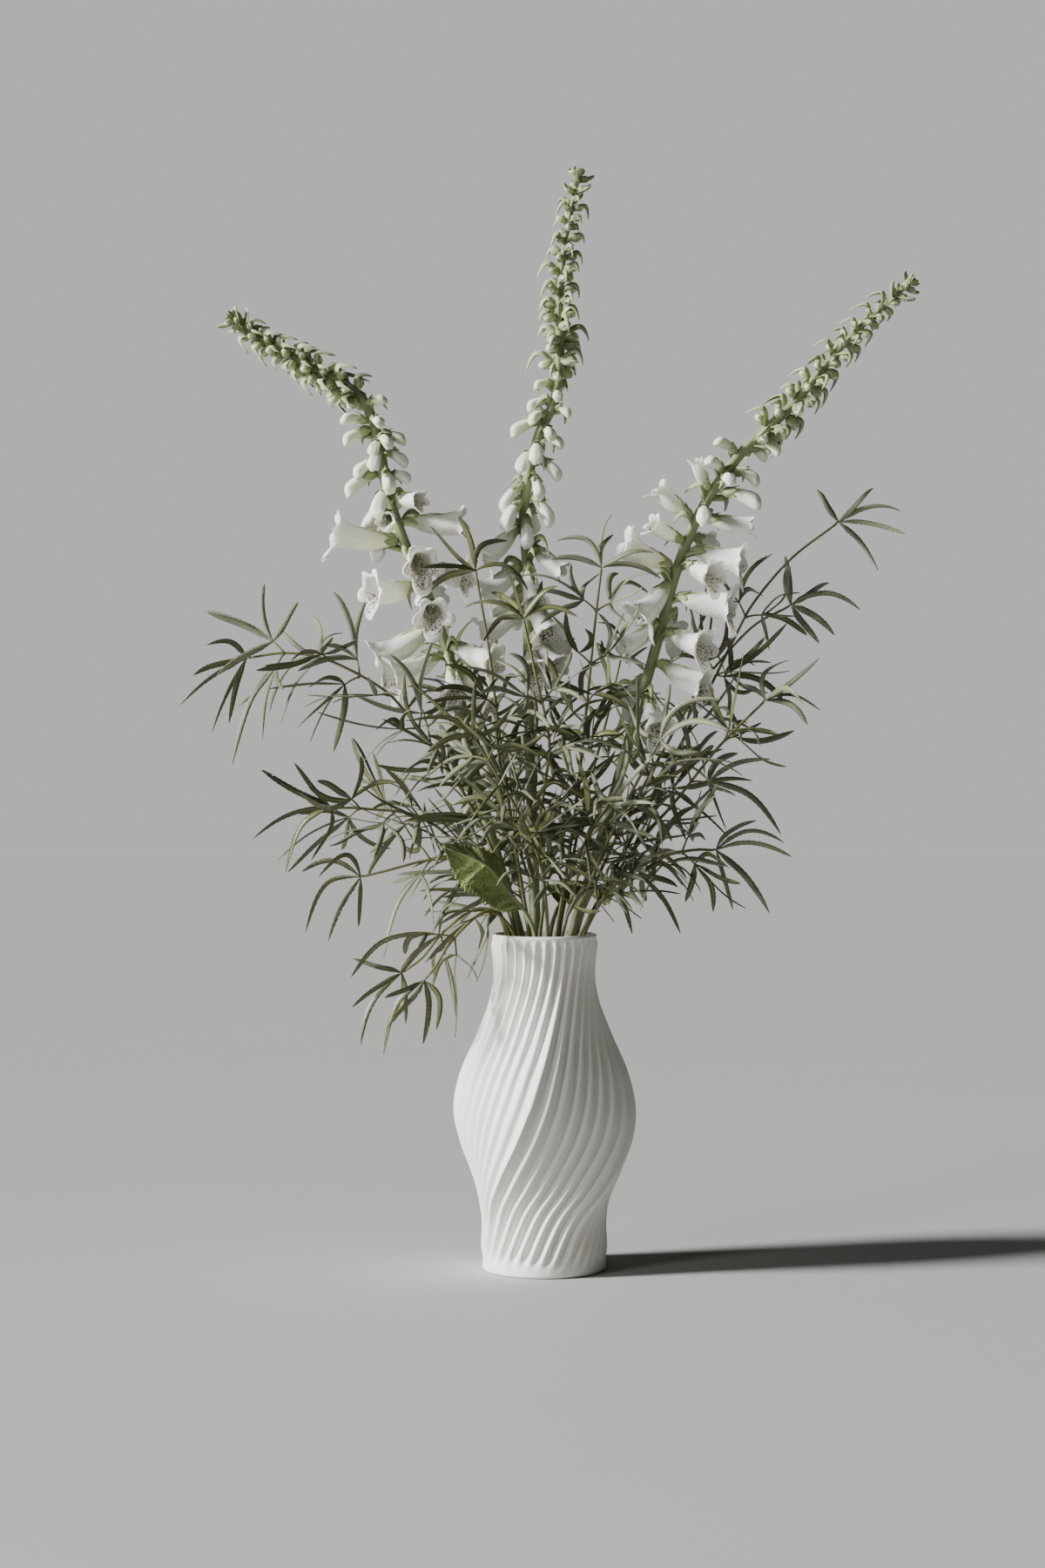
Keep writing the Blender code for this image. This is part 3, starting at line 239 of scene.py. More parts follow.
# Leaves: how far apart their pairs stand, their leaflets, the spread of these in degrees, and how
# far a leaf's plane is turned about its stalk from level, at most, and at the end of a sprig.
PAIR_SPACING = 135.0
PAIR_SHIFT = 0.75
PAIRS = (2, 5)
STALK_LEAN = 0.7
LEAFLETS = 3
END_LEAFLETS = 5
FAN = 136.0
FAN_JITTER = 5.0
LEAF_TILT = 62.0
END_TILT = 78.0
LEAFLET_LENGTH = (48.0, 74.0)
LEAFLET_DROOP = (0.05, 0.6)
SIDE_SHORTENING = 240.0
LEAFLET_MIDDLE = 0.48
DROOPS = (0.5, 1.6)
TIP_WIDTH = 0.2
LEAFLET_SWINGS = (0, 9, -9)
LEAFLET_TILTS = (0, 12, -12, 24, -24, 36, -36, 48, -48)
LEAFLET_WIDTH = 5.4
PETIOLE = 15.0
PETIOLE_RADIUS = 1.3
END_PETIOLE = 3.0
HUB = 2.4
STALK_SWINGS = (0, 25, -25, 50, -50, 75, -75, 100, -100, 130, -130)

# Broad foxglove leaves: where each stalk passes the neck, then the midrib's route; how far the
# halves are raised, in radians, and how far the blade is rolled about its midrib, in degrees. The
# blade and its room start at heights above the rim. Its room is a share of its width to each side,
# and its half width is never below the least one. The stalk's radii are those of its two ends.
BROAD_LEAVES = {
    "front": [(-8, -33, 300), (-16, -44, 320), (-33, -56, 342), (-52, -62, 364), (-86, -66, 378)],
    "back": [(6, 28, 300), (13, 48, 320), (26, 76, 334), (42, 102, 334), (58, 122, 322)],
}
BROAD_FOLD = {"front": 0.38, "back": 0.3}
BROAD_ROLL = {"front": 132.0, "back": 0.0}
BLADE_START = 4
BROAD_START = 22.0
BROAD_ROOM = 0.46
BROAD_WIDTH = 64.0
BROAD_THICK = 0.9
BROAD_STALK = (2.6, 2.6 * 0.4)
BROAD_LEAST = 1.2

# Leaves that the solids leave out: pairs between theirs, and leaflets between and beside theirs.
# The steps count pairs along a sprig. None of these leaves starts lower than the least height, or,
# in front of the bells, higher than the greatest. Added leaflets are a little shorter.
FILL_STEPS = {
    "light": (0.5, 1.5, 3.5),
    "middling": (-0.42, 0.5, 1.5, 2.5, 3.5, 4.5),
    "dense": (-0.7, -0.42, -0.15, 0.25, 0.6, 0.85, 1.3, 1.7, 2.3, 2.7, 3.3, 3.7, 4.4),
}
IN_FRONT = ("centre_left", "centre_front")
SPARSE = ("rim_left", "rim_front", "left_low")
LIGHT = ("right_low", "right_second", "right_high")
DENSE = ("centre_left", "centre_front", "centre_right", "front_left", "front_right", "back_low",
         "back_left", "left_middle", "left_high")
LONG_LEAVED = ("sprig_left_high", "sprig_left_middle", "sprig_right_high")
FILL_LEAFLETS = 5
FILL_MARGIN = 7.0
FILL_LOWEST = 322.0
FILL_HIGHEST = 505.0
FILL_GAP = 40.0
FILL_DROOP = (-0.3, 0.45)
SIDE_SPREAD = 31.0
ADDED_LENGTH = 0.95
SIDE_LENGTH = 0.82

# Leaflets: rows along one, its greatest width as a share of the solid's, how far its tip grows
# beyond the solid's as a share of its outer half, how the tip hooks, how far it sways and its tip
# curls to a side, how deep and how quickly its surface waves, its thickness and fold, its roll and
# twist in degrees, its teeth as a share of its width, and the radii of its leaf's stalk.
LEAFLET_ROWS = 30
FULLNESS_RANGE = (0.74, 1.14)
LEAF_GROWTH = (0.0, 0.6)
SHORT_GROWTH = (-0.1, 0.15)
LEAF_HOOK = (-0.3, 0.8)
LEAF_SWAY = 9.0
LEAF_CURL = 9.0
LEAF_WAVE = 0.5
LEAF_WAVES = 9
LEAF_THICK = 0.6
LEAF_FOLD = 0.36
LEAF_ROLL = 38.0
LEAF_TWIST = 50.0
TOOTH_DEPTH = 0.065
LEAF_STALK_RADII = (1.5, 0.95, 0.75)

# Stems: how far apart their rings are, and how many times further where they are straight; the bulge
# of their ends as shares of the radius; the length that counts as 1 along their pattern; a way that
# no stem takes, to which their first side is square; their ribs (how many, and how deep as a share);
# and the sides of a stem and of a stalk.
RING_STEP = 6.0
STRAIGHT_STEP = 5
STALK_ENDS = (0.3, 0.6)
STALK_UV = 100
SLANT = (0.31, 0.77, 0.55)
FOXGLOVE_RIBS = (7, 0.045)
SPRIG_RIBS = (4, 0.06)
BROAD_RIBS = (3, 0.08)
STEM_SIDES = {"foxglove": 21, "sprig": 10, "broad_leaf": 12}
STALK_SIDES = 7

# Blades: how far the edges of a folded one rise, as a share of the fold, and how much thinner they
# are than its midrib. Petals: where the pattern of the outside ends and that of the inside begins,
# and how much of it a closed flower has.
FOLD_LIFT = 0.75
EDGE_THINNING = 0.45
OUTSIDE_UV = 0.498
INSIDE_UV = 0.502
CLOSED_UV = 0.49

# Open flowers: radius along the tube as a share of its girth, and the lobes of the lip, each with
# its place round the mouth from the lower side, its half width in degrees, and its length as a share
# of the girth. Then the points round a bell, the rows of its tube and its lip, and its thickness at
# its foot and its edge; the tube's length as a share of the bell's, and how far its foot sits in the
# calyx; the mouth's radius as a share of the girth, and how much it gains as the bell opens; the
# lip's least length, the share of it that a bell has when it begins to open, and how far the lip
# leans out in degrees, at its root and in its further course.
BELL_PROFILE = ((0, 0.08), (0.08, 0.095), (0.2, 0.13), (0.36, 0.172), (0.55, 0.207), (0.72, 0.23),
                (0.88, 0.255), (1, 0.29))
BELL_LOBES = ((0, 41, 0.37), (75, 34, 0.2), (-75, 34, 0.2), (144, 33, 0.17), (-144, 33, 0.17))
BELL_COLUMNS = 40
TUBE_ROWS = 13
LIP_ROWS = 7
PETAL_THICK = (0.9, 0.45)
TUBE_LENGTH = 0.93
TUBE_INSET = 2.5
MOUTH_RADIUS = (0.19, 0.1)
LIP_LEAST = 0.03
LIP_YOUNG = 0.6
LIP_LEAN = (24, 84)

# A bell's unevenness: its curve as a share of its length, its ovals, ridges, swelling and dents as
# shares of its radius, and the ruffle of its lip as a share of its girth. In each pair, the first
# number says how many waves go round the bell.
BELL_CURVE = 0.03
BELL_OVALS = ((2, 0.04), (3, 0.03))
BELL_RIDGES = (5, 0.05)
BELL_SWELLING = 0.13
BELL_DENTS = 0.04
RUFFLES = ((8, 1.0), (5, 0.9), (13, 0.7))
RUFFLE_DEPTH = 0.022

# The style and the stamens of a bell: how far each lies to a side, the share of the bell that it
# reaches along, and the radius of its end. They lie above the middle by shares of the girth, halfway
# and at their ends, and have a young petal's tone. Last, their rows and their sides.
STAMENS = ((0.0, 0.9, 0.75), (1.7, 0.74, 1.5), (-1.7, 0.74, 1.5), (2.6, 0.6, 1.5), (-2.6, 0.6, 1.5))
STAMEN_RADIUS = 0.5
STAMEN_RISE = (0.12, 0.13)
STAMEN_TONE = 0.75
STAMEN_ROWS = 7
STAMEN_SIDES = 6

# Stalks of flowers: radii of a bell's, a closed flower's and a small bud's, and how each swells
# towards the flower.
BELL_STALK = 1.45
BUD_STALK = 1.3
SMALL_STALK = 0.9
STALK_SWELLING = (1.0, 0.95, 1.1, 1.35)

# Closed flowers that the solids leave out, given as in FLOWERS.
EXTRA_BUDS = {
    "left": [(698, (-8, 30, -18), 0.3), (714, (8, 26, -14), 0.2), (728, (-20, 18, -10), 0.2),
             (743, (8, 22, -6), 0.1), (757, (10, 18, 0), 0.1)],
    "centre": [(690, (-22, 18, -22), 0.3), (725, (24, 12, -12), 0.2), (731, (-10, 24, -12), 0.2),
               (752, (8, 20, -6), 0.1), (765, (-16, 14, -4), 0.1)],
    "right": [(680, (10, 30, -14), 0.3), (709, (-14, 18, 16), 0.2), (723, (8, 24, -4), 0.1),
              (736, (-6, 18, 8), 0.1)],
}

# Closed flowers: radius along them as a share of their thickness, which is a base and a share of
# their reach, how far their tip sags, their rows and columns, and the depth of their creases. Buds
# of a spike: radius along them as a share of their length.
BUD_PROFILE = ((0, 0.3), (0.1, 0.46), (0.25, 0.64), (0.45, 0.8), (0.65, 0.93), (0.8, 1.0),
               (0.9, 0.96), (0.965, 0.74), (0.995, 0.42))
BUD_RADIUS = (2.5, 0.12)
BUD_SAG = 0.28
BUD_GRID = (14, 20)
BUD_CREASES = 0.13
SMALL_BUD = ((0, 0.14), (0.15, 0.21), (0.4, 0.285), (0.65, 0.29), (0.85, 0.22), (0.96, 0.1))
SMALL_BUD_GRID = (8, 10)
SMALL_BUD_CREASES = 0.06

# A spike's buds: how many, how they crowd towards its tip, the share of it that they take up, and
# their length at its foot and its tip.
SPIKE_COUNT = 50
SPIKE_CROWDING = 0.88
SPIKE_SHARE = 0.985
SPIKE_BUD_LENGTH = (16.0, 7.5)

# Bracts: rows along one, its fold and thickness, and the middle of its arch, away from the stem and
# along it, and its tip, as shares of its length, and how far below its flower it stands. A spike's
# bracts: length and width at its foot and its tip, how far they dip, and how far those of the tuft
# rise. Bracts at its very tip: how many, their least and greatest length, width and rise. Bracts of
# bells and closed flowers: the same.
BRACT_ROWS = 11
BRACT_FOLD = 1.9
BRACT_THICK = 0.6
BRACT_MIDDLE = (0.52, 0.32)
BRACT_TIP = 0.22
BRACT_DROP = 5
SPIKE_BRACT = (35.0, 18.0)
SPIKE_BRACT_WIDTH = (7.2, 4.4)
SPIKE_BRACT_DIP = 0.5
TUFT_RISE = 0.1
TUFT_BRACTS = 12
TOP_BRACT = (7, 11)
TOP_BRACT_WIDTH = 3.0
TOP_BRACT_RISE = 0.3
BELL_BRACT = (24, 34)
BUD_BRACT = (18, 25)
FLOWER_BRACT_WIDTH = 7.4
FLOWER_BRACT_RISE = (-0.7, -0.2)

# Sepals: how many clasp a flower, the rows along one, its fold and thickness, and its size on a bell.
SEPALS = 5
SEPAL_ROWS = 6
SEPAL_FOLD = -0.45
SEPAL_THICK = 0.6
SEPAL_LENGTH = 14.5
SEPAL_WIDTH = 8.2

# Broad leaves: the grid of a blade, its side veins, how far up its stalk it starts and how fast it
# widens there, its teeth as a share of its half width, the height of the quilting between its veins,
# the height and the rate of the waves of its edge, and how far its edge lies towards its tip.
BROAD_GRID = (72, 17)
BROAD_VEINS = 8.0
BROAD_FOOT = 0.03
BROAD_SPREAD = 0.95
BROAD_TEETH = 0.07
BROAD_QUILT = 1.3
BROAD_WAVE = 3.4
BROAD_WAVES = 11
BROAD_SWEEP = 4

# Vase: points round it for each flute, the rows of its outside and its inside, how full the ridges
# between the flutes are, how deep the flutes are beside those of the solid, and the least angle in
# degrees of an edge that is shaded sharp.
FLUTE_POINTS = 12
OUTER_ROWS = 104
INNER_ROWS = 26
FLUTE_FULLNESS = 0.9
FLUTE_RELIEF = 1.3
SHARP_FROM = 50

# Stage, in metres: the floor's half width and level; the lights' places, what they aim at, and how
# soft each is, in degrees and in metres; the camera's place, its dip in degrees and its sensor in
# millimetres; and the surround's colour, with its strength as light and as it is seen.
FLOOR_REACH = 9.0
FLOOR_LEVEL = -0.0003
KEY_PLACE = (-1.9, -0.5, 1.16)
FILL_PLACE = (-1.95, -2.0, 1.1)
LIGHT_AIM = (0.0, 0.0, 0.4)
KEY_ANGLE = 11
FILL_SIZE = 0.5
CAMERA_PLACE = (-0.0194, -2.72, 0.484)
CAMERA_DIP = 1.064
CAMERA_SENSOR = 36.0
SURROUND = (0.93, 0.93, 0.92, 1)
SURROUND_STRENGTHS = (0.03, 0.6)


# Plan of the bunch


def eased(table, at):
    """Value at a height, on a smooth curve through a table's points."""
    xs = [row[0] for row in table]
    ys = [row[1] for row in table]
    last = len(xs) - 1
    slopes = [(ys[min(i + 1, last)] - ys[max(i - 1, 0)]) / (xs[min(i + 1, last)] - xs[max(i - 1, 0)])
              for i in range(last + 1)]
    at = min(max(at, xs[0]), xs[-1])
    i = max(k for k in range(last) if xs[k] <= at)
    span = xs[i + 1] - xs[i]
    t = (at - xs[i]) / span
    return (ys[i] * (1 + 2 * t) * (1 - t) ** 2 + slopes[i] * span * t * (1 - t) ** 2
            + ys[i + 1] * t * t * (3 - 2 * t) + slopes[i + 1] * span * t * t * (t - 1))


def vase_inner(height):
    """Least inner radius at a height."""
    return eased(CREST_RADIUS, height) * (1 - eased(SQUARENESS, height)) - WALL


def spline(a, b, c, d, t):
    """A point at a share of the smooth way from b to c, which comes from a and goes on to d."""
    return 0.5 * (2 * b + (c - a) * t + (2 * a - 5 * b + 4 * c - d) * t * t
                  + (3 * b - 3 * c + d - a) * t ** 3)


def curve_through(points, step):
    """Points about a step apart on a smooth curve through a route's own points."""
    ends = [2 * points[0] - points[1]] + list(points) + [2 * points[-1] - points[-2]]
    line = [points[0].copy()]
    for i in range(1, len(ends) - 2):
        count = max(1, round((ends[i + 1] - ends[i]).length / step))
        line += [spline(*ends[i - 1:i + 3], k / count) for k in range(1, count + 1)]
    return line


def stem_route(route):
    """A stem from the vase's floor, through the neck, along its own route."""
    neck = Vector(route[0])
    low = Vector((neck.x, neck.y, 0)) * FOOT_REACH
    foot = Vector((low.x * math.cos(SPIRAL_TURN) - low.y * math.sin(SPIRAL_TURN),
                   low.x * math.sin(SPIRAL_TURN) + low.y * math.cos(SPIRAL_TURN), FLOOR + FOOT_GAP))
    base = Vector((neck.x * NECK_REACH, neck.y * NECK_REACH, NECK_HEIGHT))
    above = curve_through([base, neck] + [Vector(p) for p in route[1:]], STEM_STEP)
    return [foot] + above


def segment_gaps(start, end, starts, ends):
    """Least distances from one straight piece to many."""
    d1 = end - start
    d2 = ends - starts
    r = start - starts
    a = max(float(d1 @ d1), 1e-9)
    e = np.maximum((d2 * d2).sum(1), 1e-9)
    f = (d2 * r).sum(1)
    c = r @ d1
    b = d2 @ d1
    denom = np.maximum(a * e - b * b, 1e-9)
    s = np.clip((b * f - c * e) / denom, 0, 1)
    t = np.clip((b * s + f) / e, 0, 1)
    s = np.clip((b * t - c) / a, 0, 1)
    return np.linalg.norm(start + d1 * s[:, None] - starts - d2 * t[:, None], axis=1)


class Space:
    """What already stands in the bunch, as straight pieces with a radius and an owner."""

    def __init__(self):
        self.rows = np.zeros((0, 8))

    def add(self, owner, chain):
        """Takes in a chain of (point, radius)."""
        new = [(*p, *q, max(r, s), owner) for (p, r), (q, s) in zip(chain, chain[1:])]
        self.rows = np.vstack([self.rows, new])

    def near(self, chain, gap):
        """The pieces whose boxes come within a gap of a chain's box."""
        low = np.min([np.array(p) - r for p, r in chain], axis=0) - gap
        high = np.max([np.array(p) + r for p, r in chain], axis=0) + gap
        starts, ends, radii = self.rows[:, 0:3], self.rows[:, 3:6], self.rows[:, 6:7]
        inside = ((np.minimum(starts, ends) - radii < high)
                  & (np.maximum(starts, ends) + radii > low)).all(axis=1)
        return self.rows[inside]

    def clear(self, owner, chain, gap, own_gap=None):
        """True where a chain of (point, radius) is clear of other owners, and of the vase."""
        if not all(outside_vase(p, r + gap) for p, r in chain):
            return False
        rows = self.near(chain, gap)
        others = rows[rows[:, 7] != owner]
        own = rows[rows[:, 7] == owner]
        for (p, r), (q, s) in zip(chain, chain[1:]):
            p, q = np.array(p), np.array(q)
            for group, room in ((others, gap), (own, own_gap)):
                if room is None or not len(group):
                    continue
                gaps = segment_gaps(p, q, group[:, 0:3], group[:, 3:6])
                if (gaps < group[:, 6] + max(r, s) + room).any():
                    return False
        return True


def outside_vase(point, radius):
    """True where a ball is clear of the vase's wall and lip."""
    if point[2] > VASE_HEIGHT + radius:
        return True
    reach = math.hypot(point[0], point[1])
    height = min(point[2], VASE_HEIGHT)
    outer = eased(CREST_RADIUS, height) + FLUTE_DEPTH
    return reach > outer + radius or reach < vase_inner(height) - radius


def ease_apart(lines, radii):
    """Bends stems that would cross clear of each other, and keeps them inside the neck."""
    moved = [np.array(line) for line in lines]
    for _ in range(EASE_ROUNDS):
        for i, line in enumerate(moved):
            push = np.zeros_like(line)
            for j, other in enumerate(moved):
                if i == j:
                    continue
                a, b = other[:-1], other[1:]
                span = b - a
                t = ((line[:, None] - a) * span).sum(2) / (span * span).sum(1)
                near = a + np.clip(t, 0, 1)[..., None] * span
                away = line[:, None] - near
                gaps = np.linalg.norm(away, axis=2)
                best = gaps.argmin(1)
                rows = np.arange(len(line))
                gap = gaps[rows, best]
                need = radii[i][rows] + radii[j][best + 1] + STEM_ROOM
                short = np.maximum(need - gap, 0) * 0.5
                push += away[rows, best] / np.maximum(gap, 1e-6)[:, None] * short[:, None]
            push[:, 2] = 0
            line += push
            for k in range(NECK_POINT + 1):
                reach = math.hypot(line[k, 0], line[k, 1])
                room = vase_inner(line[k, 2]) - radii[i][k] - NECK_ROOM
                if reach > room:
                    line[k, :2] *= room / reach
    return [[Vector(p) for p in line] for line in moved]


def tapered(count, ends):
    """Radii that run evenly from the first to the last of a stem's points."""
    return [ends[0] + (ends[1] - ends[0]) * k / (count - 1) for k in range(count)]


def at_share(line, share):
    """A point and the way on, at a share of a line's length."""
    spans = [(b - a).length for a, b in zip(line, line[1:])]
    left = share * sum(spans)
    for (a, b), span in zip(zip(line, line[1:]), spans):
        if left <= span or b is line[-1]:
            return a.lerp(b, min(1.0, left / span)), (b - a).normalized()
        left -= span


def at_height(line, height):
    """The stem's point at a height, and the way on from there."""
    for a, b in zip(line, line[1:]):
        if a.z <= height <= b.z:
            return a.lerp(b, (height - a.z) / (b.z - a.z)), (b - a).normalized()
    return line[-1], (line[-1] - line[-2]).normalized()


def side_ways(axis):
    """Two directions square to an axis, the first of them level where it can be."""
    level = axis.cross(Vector((0, 0, 1)))
    if level.length < 0.05:
        level = Vector((1, 0, 0))
    level.normalize()
    return level, level.cross(axis).normalized()


def turned(direction, axis, degrees):
    """A direction turned about an axis."""
    angle = math.radians(degrees)
    return (direction * math.cos(angle) + axis.cross(direction) * math.sin(angle)
            + axis * axis.dot(direction) * (1 - math.cos(angle)))


def blade_chain(root, way, length, droop, width):
    """Root, middle and tip of a leaflet that bends down as it goes."""
    middle = root + (way - Vector((0, 0, droop * DROOPS[0]))).normalized() * length * LEAFLET_MIDDLE
    tip = middle + (way - Vector((0, 0, droop * DROOPS[1]))).normalized() * length * (
        1 - LEAFLET_MIDDLE)
    return [(root, HUB), (middle, width * 0.5), (tip, width * TIP_WIDTH)]


def flower_chain(root, mouth, opened):
    """A flower's room: its stalk, its middle and its mouth."""
    length = (mouth - root).length - CALYX_REACH
    wide = BELL_ROOM if opened > OPEN_FROM else BUD_ROOM
    start = root.lerp(mouth, min(0.5, CALYX_REACH / (length + CALYX_REACH)))
    return [(root, FLOWER_STALK), (start, length * wide[0] * 0.6),
            (start.lerp(mouth, 0.55), length * wide[0]), (mouth, length * wide[1])]


def place_flowers(space, owner, line, planned, flowers):
    """Adds the planned flowers that find room on a stem: their root, mouth and openness."""
    for height, (right, forward, up), opened in planned:
        root, along = at_height(line, height)
        way = Vector((right, -forward, up))
        for own_gap, swing in FLOWER_SWINGS:
            mouth = root + turned(way, along, swing)
            chain = flower_chain(root, mouth, opened)
            if space.clear(owner, chain[1:], FLOWER_ROOM, own_gap):
                flowers.append((root, mouth, opened))
                space.add(owner, chain)
                break


def count_pairs(line):
    """How many pairs of leaves a sprig has."""
    above = sum((b - a).length for a, b in list(zip(line, line[1:]))[NECK_POINT:])
    return max(PAIRS[0], min(PAIRS[1], round(above / PAIR_SPACING)))


def pair_place(line, pair):
    """A point of a sprig and the way on, at a pair of leaves or at a part of the way to the next."""
    spans = [(b - a).length for a, b in zip(line, line[1:])]
    above = sum(spans[NECK_POINT:])
    return at_share(line, 1 - above / sum(spans) * (
        1 - (pair + PAIR_SHIFT) / (count_pairs(line) + PAIR_SHIFT)))


def plan_pair(space, owner, place, sides, count, draw, at_end=False, droops=LEAFLET_DROOP):
    """The leaves at a place on a sprig: a pair, or one at its end."""
    node, along = place
    level, _ = side_ways(along)
    turn = draw.uniform(0, 180)
    leaves = [plan_leaf(space, owner, node, along, level * side, turn, count, draw, at_end, droops)
              for side in sides]
    return [leaf for leaf in leaves if leaf]


def plan_leaves(space, owner, line, draw):
    """Palmate leaves of a sprig, in opposite pairs along it and one at its end."""
    leaves = []
    pairs = count_pairs(line)
    for pair in range(pairs):
        leaves += plan_pair(space, owner, pair_place(line, pair), (1, -1), LEAFLETS, draw)
    return leaves + plan_pair(space, owner, pair_place(line, pairs), (1,), END_LEAFLETS, draw, True)


def plan_leaf(space, owner, node, along, level, turn, count, draw, at_end, droops):
    """One palmate leaf, its stalk turned clear of what stands near; None where nothing fits."""
    outward = along
    for swing in (() if at_end else STALK_SWINGS):
        outward = turned(level, along, turn + swing) + along * STALK_LEAN
        outward = outward.normalized()
        stalk = [(node + outward * far, PETIOLE_RADIUS) for far in (PETIOLE * 0.3, PETIOLE)]
        if space.clear(owner, stalk, LEAF_ROOM):
            break
    hub = node + outward * (END_PETIOLE if at_end else PETIOLE)
    tilt = END_TILT if at_end else draw.uniform(-LEAF_TILT, LEAF_TILT)
    fan = turned(side_ways(outward)[0], outward, tilt)
    axis = fan.cross(outward)
    leaflets = []
    for k in range(count):
        spread = (k - (count - 1) / 2) * FAN / (count - 1) + draw.uniform(-FAN_JITTER, FAN_JITTER)
        length = draw.uniform(*LEAFLET_LENGTH) * (1 - abs(spread) / SIDE_SHORTENING)
        droop = draw.uniform(*droops)
        chain = try_blade(space, owner, hub, outward, axis, fan, spread, length, droop)
        if chain:
            leaflets.append(chain)
    if not leaflets:
        return None
    space.add(owner, [(node, PETIOLE_RADIUS), (hub, HUB)])
    for chain in leaflets:
        space.add(owner, chain)
    return node, hub, axis, leaflets


def try_blade(space, owner, hub, outward, axis, fan, spread, length, droop):
    """The first of a leaflet's places, nearest its own first, that is clear of the rest."""
    for swing in LEAFLET_SWINGS:
        for tilt in LEAFLET_TILTS:
            way = turned(turned(outward, axis, spread + swing), fan, tilt)
            chain = blade_chain(hub, way, length, droop, LEAFLET_WIDTH)
            short = [(hub.lerp(chain[1][0], 0.3), LEAFLET_WIDTH * 0.3)] + chain[1:]
            if (space.clear(owner, chain, LEAF_ROOM)
                    and space.clear(owner, short, LEAF_ROOM, OWN_ROOM)):
                return chain
    return None


def grow():
    """The whole bunch: stems, flowers, broad leaves and leaflets, none crossing another."""
    names = ["foxglove_" + n for n in FOXGLOVES] + ["sprig_" + n for n in SPRIGS]
    names += ["broad_leaf_" + n for n in BROAD_LEAVES]
    routes = list(FOXGLOVES.values()) + list(SPRIGS.values()) + list(BROAD_LEAVES.values())
    ends = [FOXGLOVE_STEM] * len(FOXGLOVES) + [SPRIG_STEM] * len(SPRIGS)
    ends += [BROAD_STALK] * len(BROAD_LEAVES)
    blades = [0.0] * (len(FOXGLOVES) + len(SPRIGS)) + [BROAD_WIDTH * BROAD_ROOM] * len(BROAD_LEAVES)
    lines = [stem_route(route) for route in routes]
    radii = [np.array(tapered(len(line), end)) for line, end in zip(lines, ends)]
    rooms = [np.where([p.z > VASE_HEIGHT + BROAD_START for p in line], np.maximum(r, blade), r)
             for line, r, blade in zip(lines, radii, blades)]
    lines = ease_apart(lines, rooms)
    stems = dict(zip(names, lines))
    sizes = dict(zip(names, radii))
    space = Space()
    for owner, (line, room) in enumerate(zip(lines, rooms)):
        space.add(owner, list(zip(line, room)))
    keep_spikes_clear(space, stems, SPIKE_ROOM)
    flowers = {}
    for owner, name in enumerate(FOXGLOVES):
        full = "foxglove_" + name
        flowers[full] = []
        place_flowers(space, owner, stems[full], FLOWERS[name], flowers[full])
    keep_spikes_clear(space, stems, SPIKE_REACH)
    leaves = {}
    for number, name in enumerate(SPRIGS):
        full = "sprig_" + name
        draw = random.Random(100 + number)
        leaves[full] = plan_leaves(space, names.index(full), stems[full], draw)
    return names, space, stems, sizes, flowers, leaves


def keep_spikes_clear(space, stems, room):
    """Takes up the room of each spike's buds and bracts."""
    for owner, name in enumerate(FOXGLOVES):
        spike = [p for p in stems["foxglove_" + name] if p.z > SPIKE_START[name] - SPIKE_ROOM_BELOW]
        space.add(owner, list(zip(spike, tapered(len(spike), room))))


def within_solids(points):
    """Whether points lie within the solids' box and a small margin round it."""
    low, high = (np.array(corner) / MM for corner in CAD_BOX)
    points = np.array(list(points))
    return (points > low - FILL_MARGIN).all() and (points < high + FILL_MARGIN).all()


def fill_out(space, owner, name, line, draw, leaves):
    """Adds what the solids leave out: leaflets in a sprig's leaves, and pairs between them."""
    for number, (node, hub, axis, leaflets) in enumerate(list(leaves)):
        outward = (hub - node).normalized()
        fan = outward.cross(axis)
        angles = sorted(math.degrees(math.atan2((chain[1][0] - hub).dot(fan) * -1,
                                                (chain[1][0] - hub).dot(outward)))
                        for chain in leaflets)
        spreads = [(a + b) / 2 for a, b in zip(angles, angles[1:]) if b - a > FILL_GAP]
        spreads += [angles[0] - SIDE_SPREAD, angles[-1] + SIDE_SPREAD]
        added = list(leaflets)
        for spread in spreads:
            length = draw.uniform(*LEAFLET_LENGTH) * (1 - abs(spread) / SIDE_SHORTENING)
            length *= ADDED_LENGTH
            if abs(spread) > FAN / 2:
                length *= SIDE_LENGTH
            chain = try_blade(space, owner, hub, outward, axis, fan, spread, length,
                              draw.uniform(*FILL_DROOP))
            if chain and within_solids(p for p, _ in chain):
                added.append(chain)
                space.add(owner, chain)
        leaves[number] = (node, hub, axis, added)
    fullness = "dense" if name in DENSE else "light" if name in LIGHT else "middling"
    for step in FILL_STEPS[fullness]:
        place = pair_place(line, step)
        height = place[0].z
        too_high = name in IN_FRONT and height > FILL_HIGHEST
        if step > count_pairs(line) or height < FILL_LOWEST or too_high:
            continue
        for leaf in plan_pair(space, owner, place, (1, -1), FILL_LEAFLETS, draw, droops=FILL_DROOP):
            leaf[3][:] = [c for c in leaf[3] if within_solids(p for p, _ in c)]
            leaves.append(leaf)


@functools.lru_cache(maxsize=1)
def bunch():
    """The plan of the whole bunch, with the leaves that the solids leave out."""
    names, space, stems, sizes, flowers, leaves = grow()
    for name in FOXGLOVES:
        full = "foxglove_" + name
        place_flowers(space, names.index(full), stems[full], EXTRA_BUDS[name], flowers[full])
    for number, name in enumerate(SPRIGS):
        if name in SPARSE:
            continue
        full = "sprig_" + name
        draw = random.Random(500 + number)
        fill_out(space, names.index(full), name, stems[full], draw, leaves[full])
    return stems, sizes, flowers, leaves


# Meshes


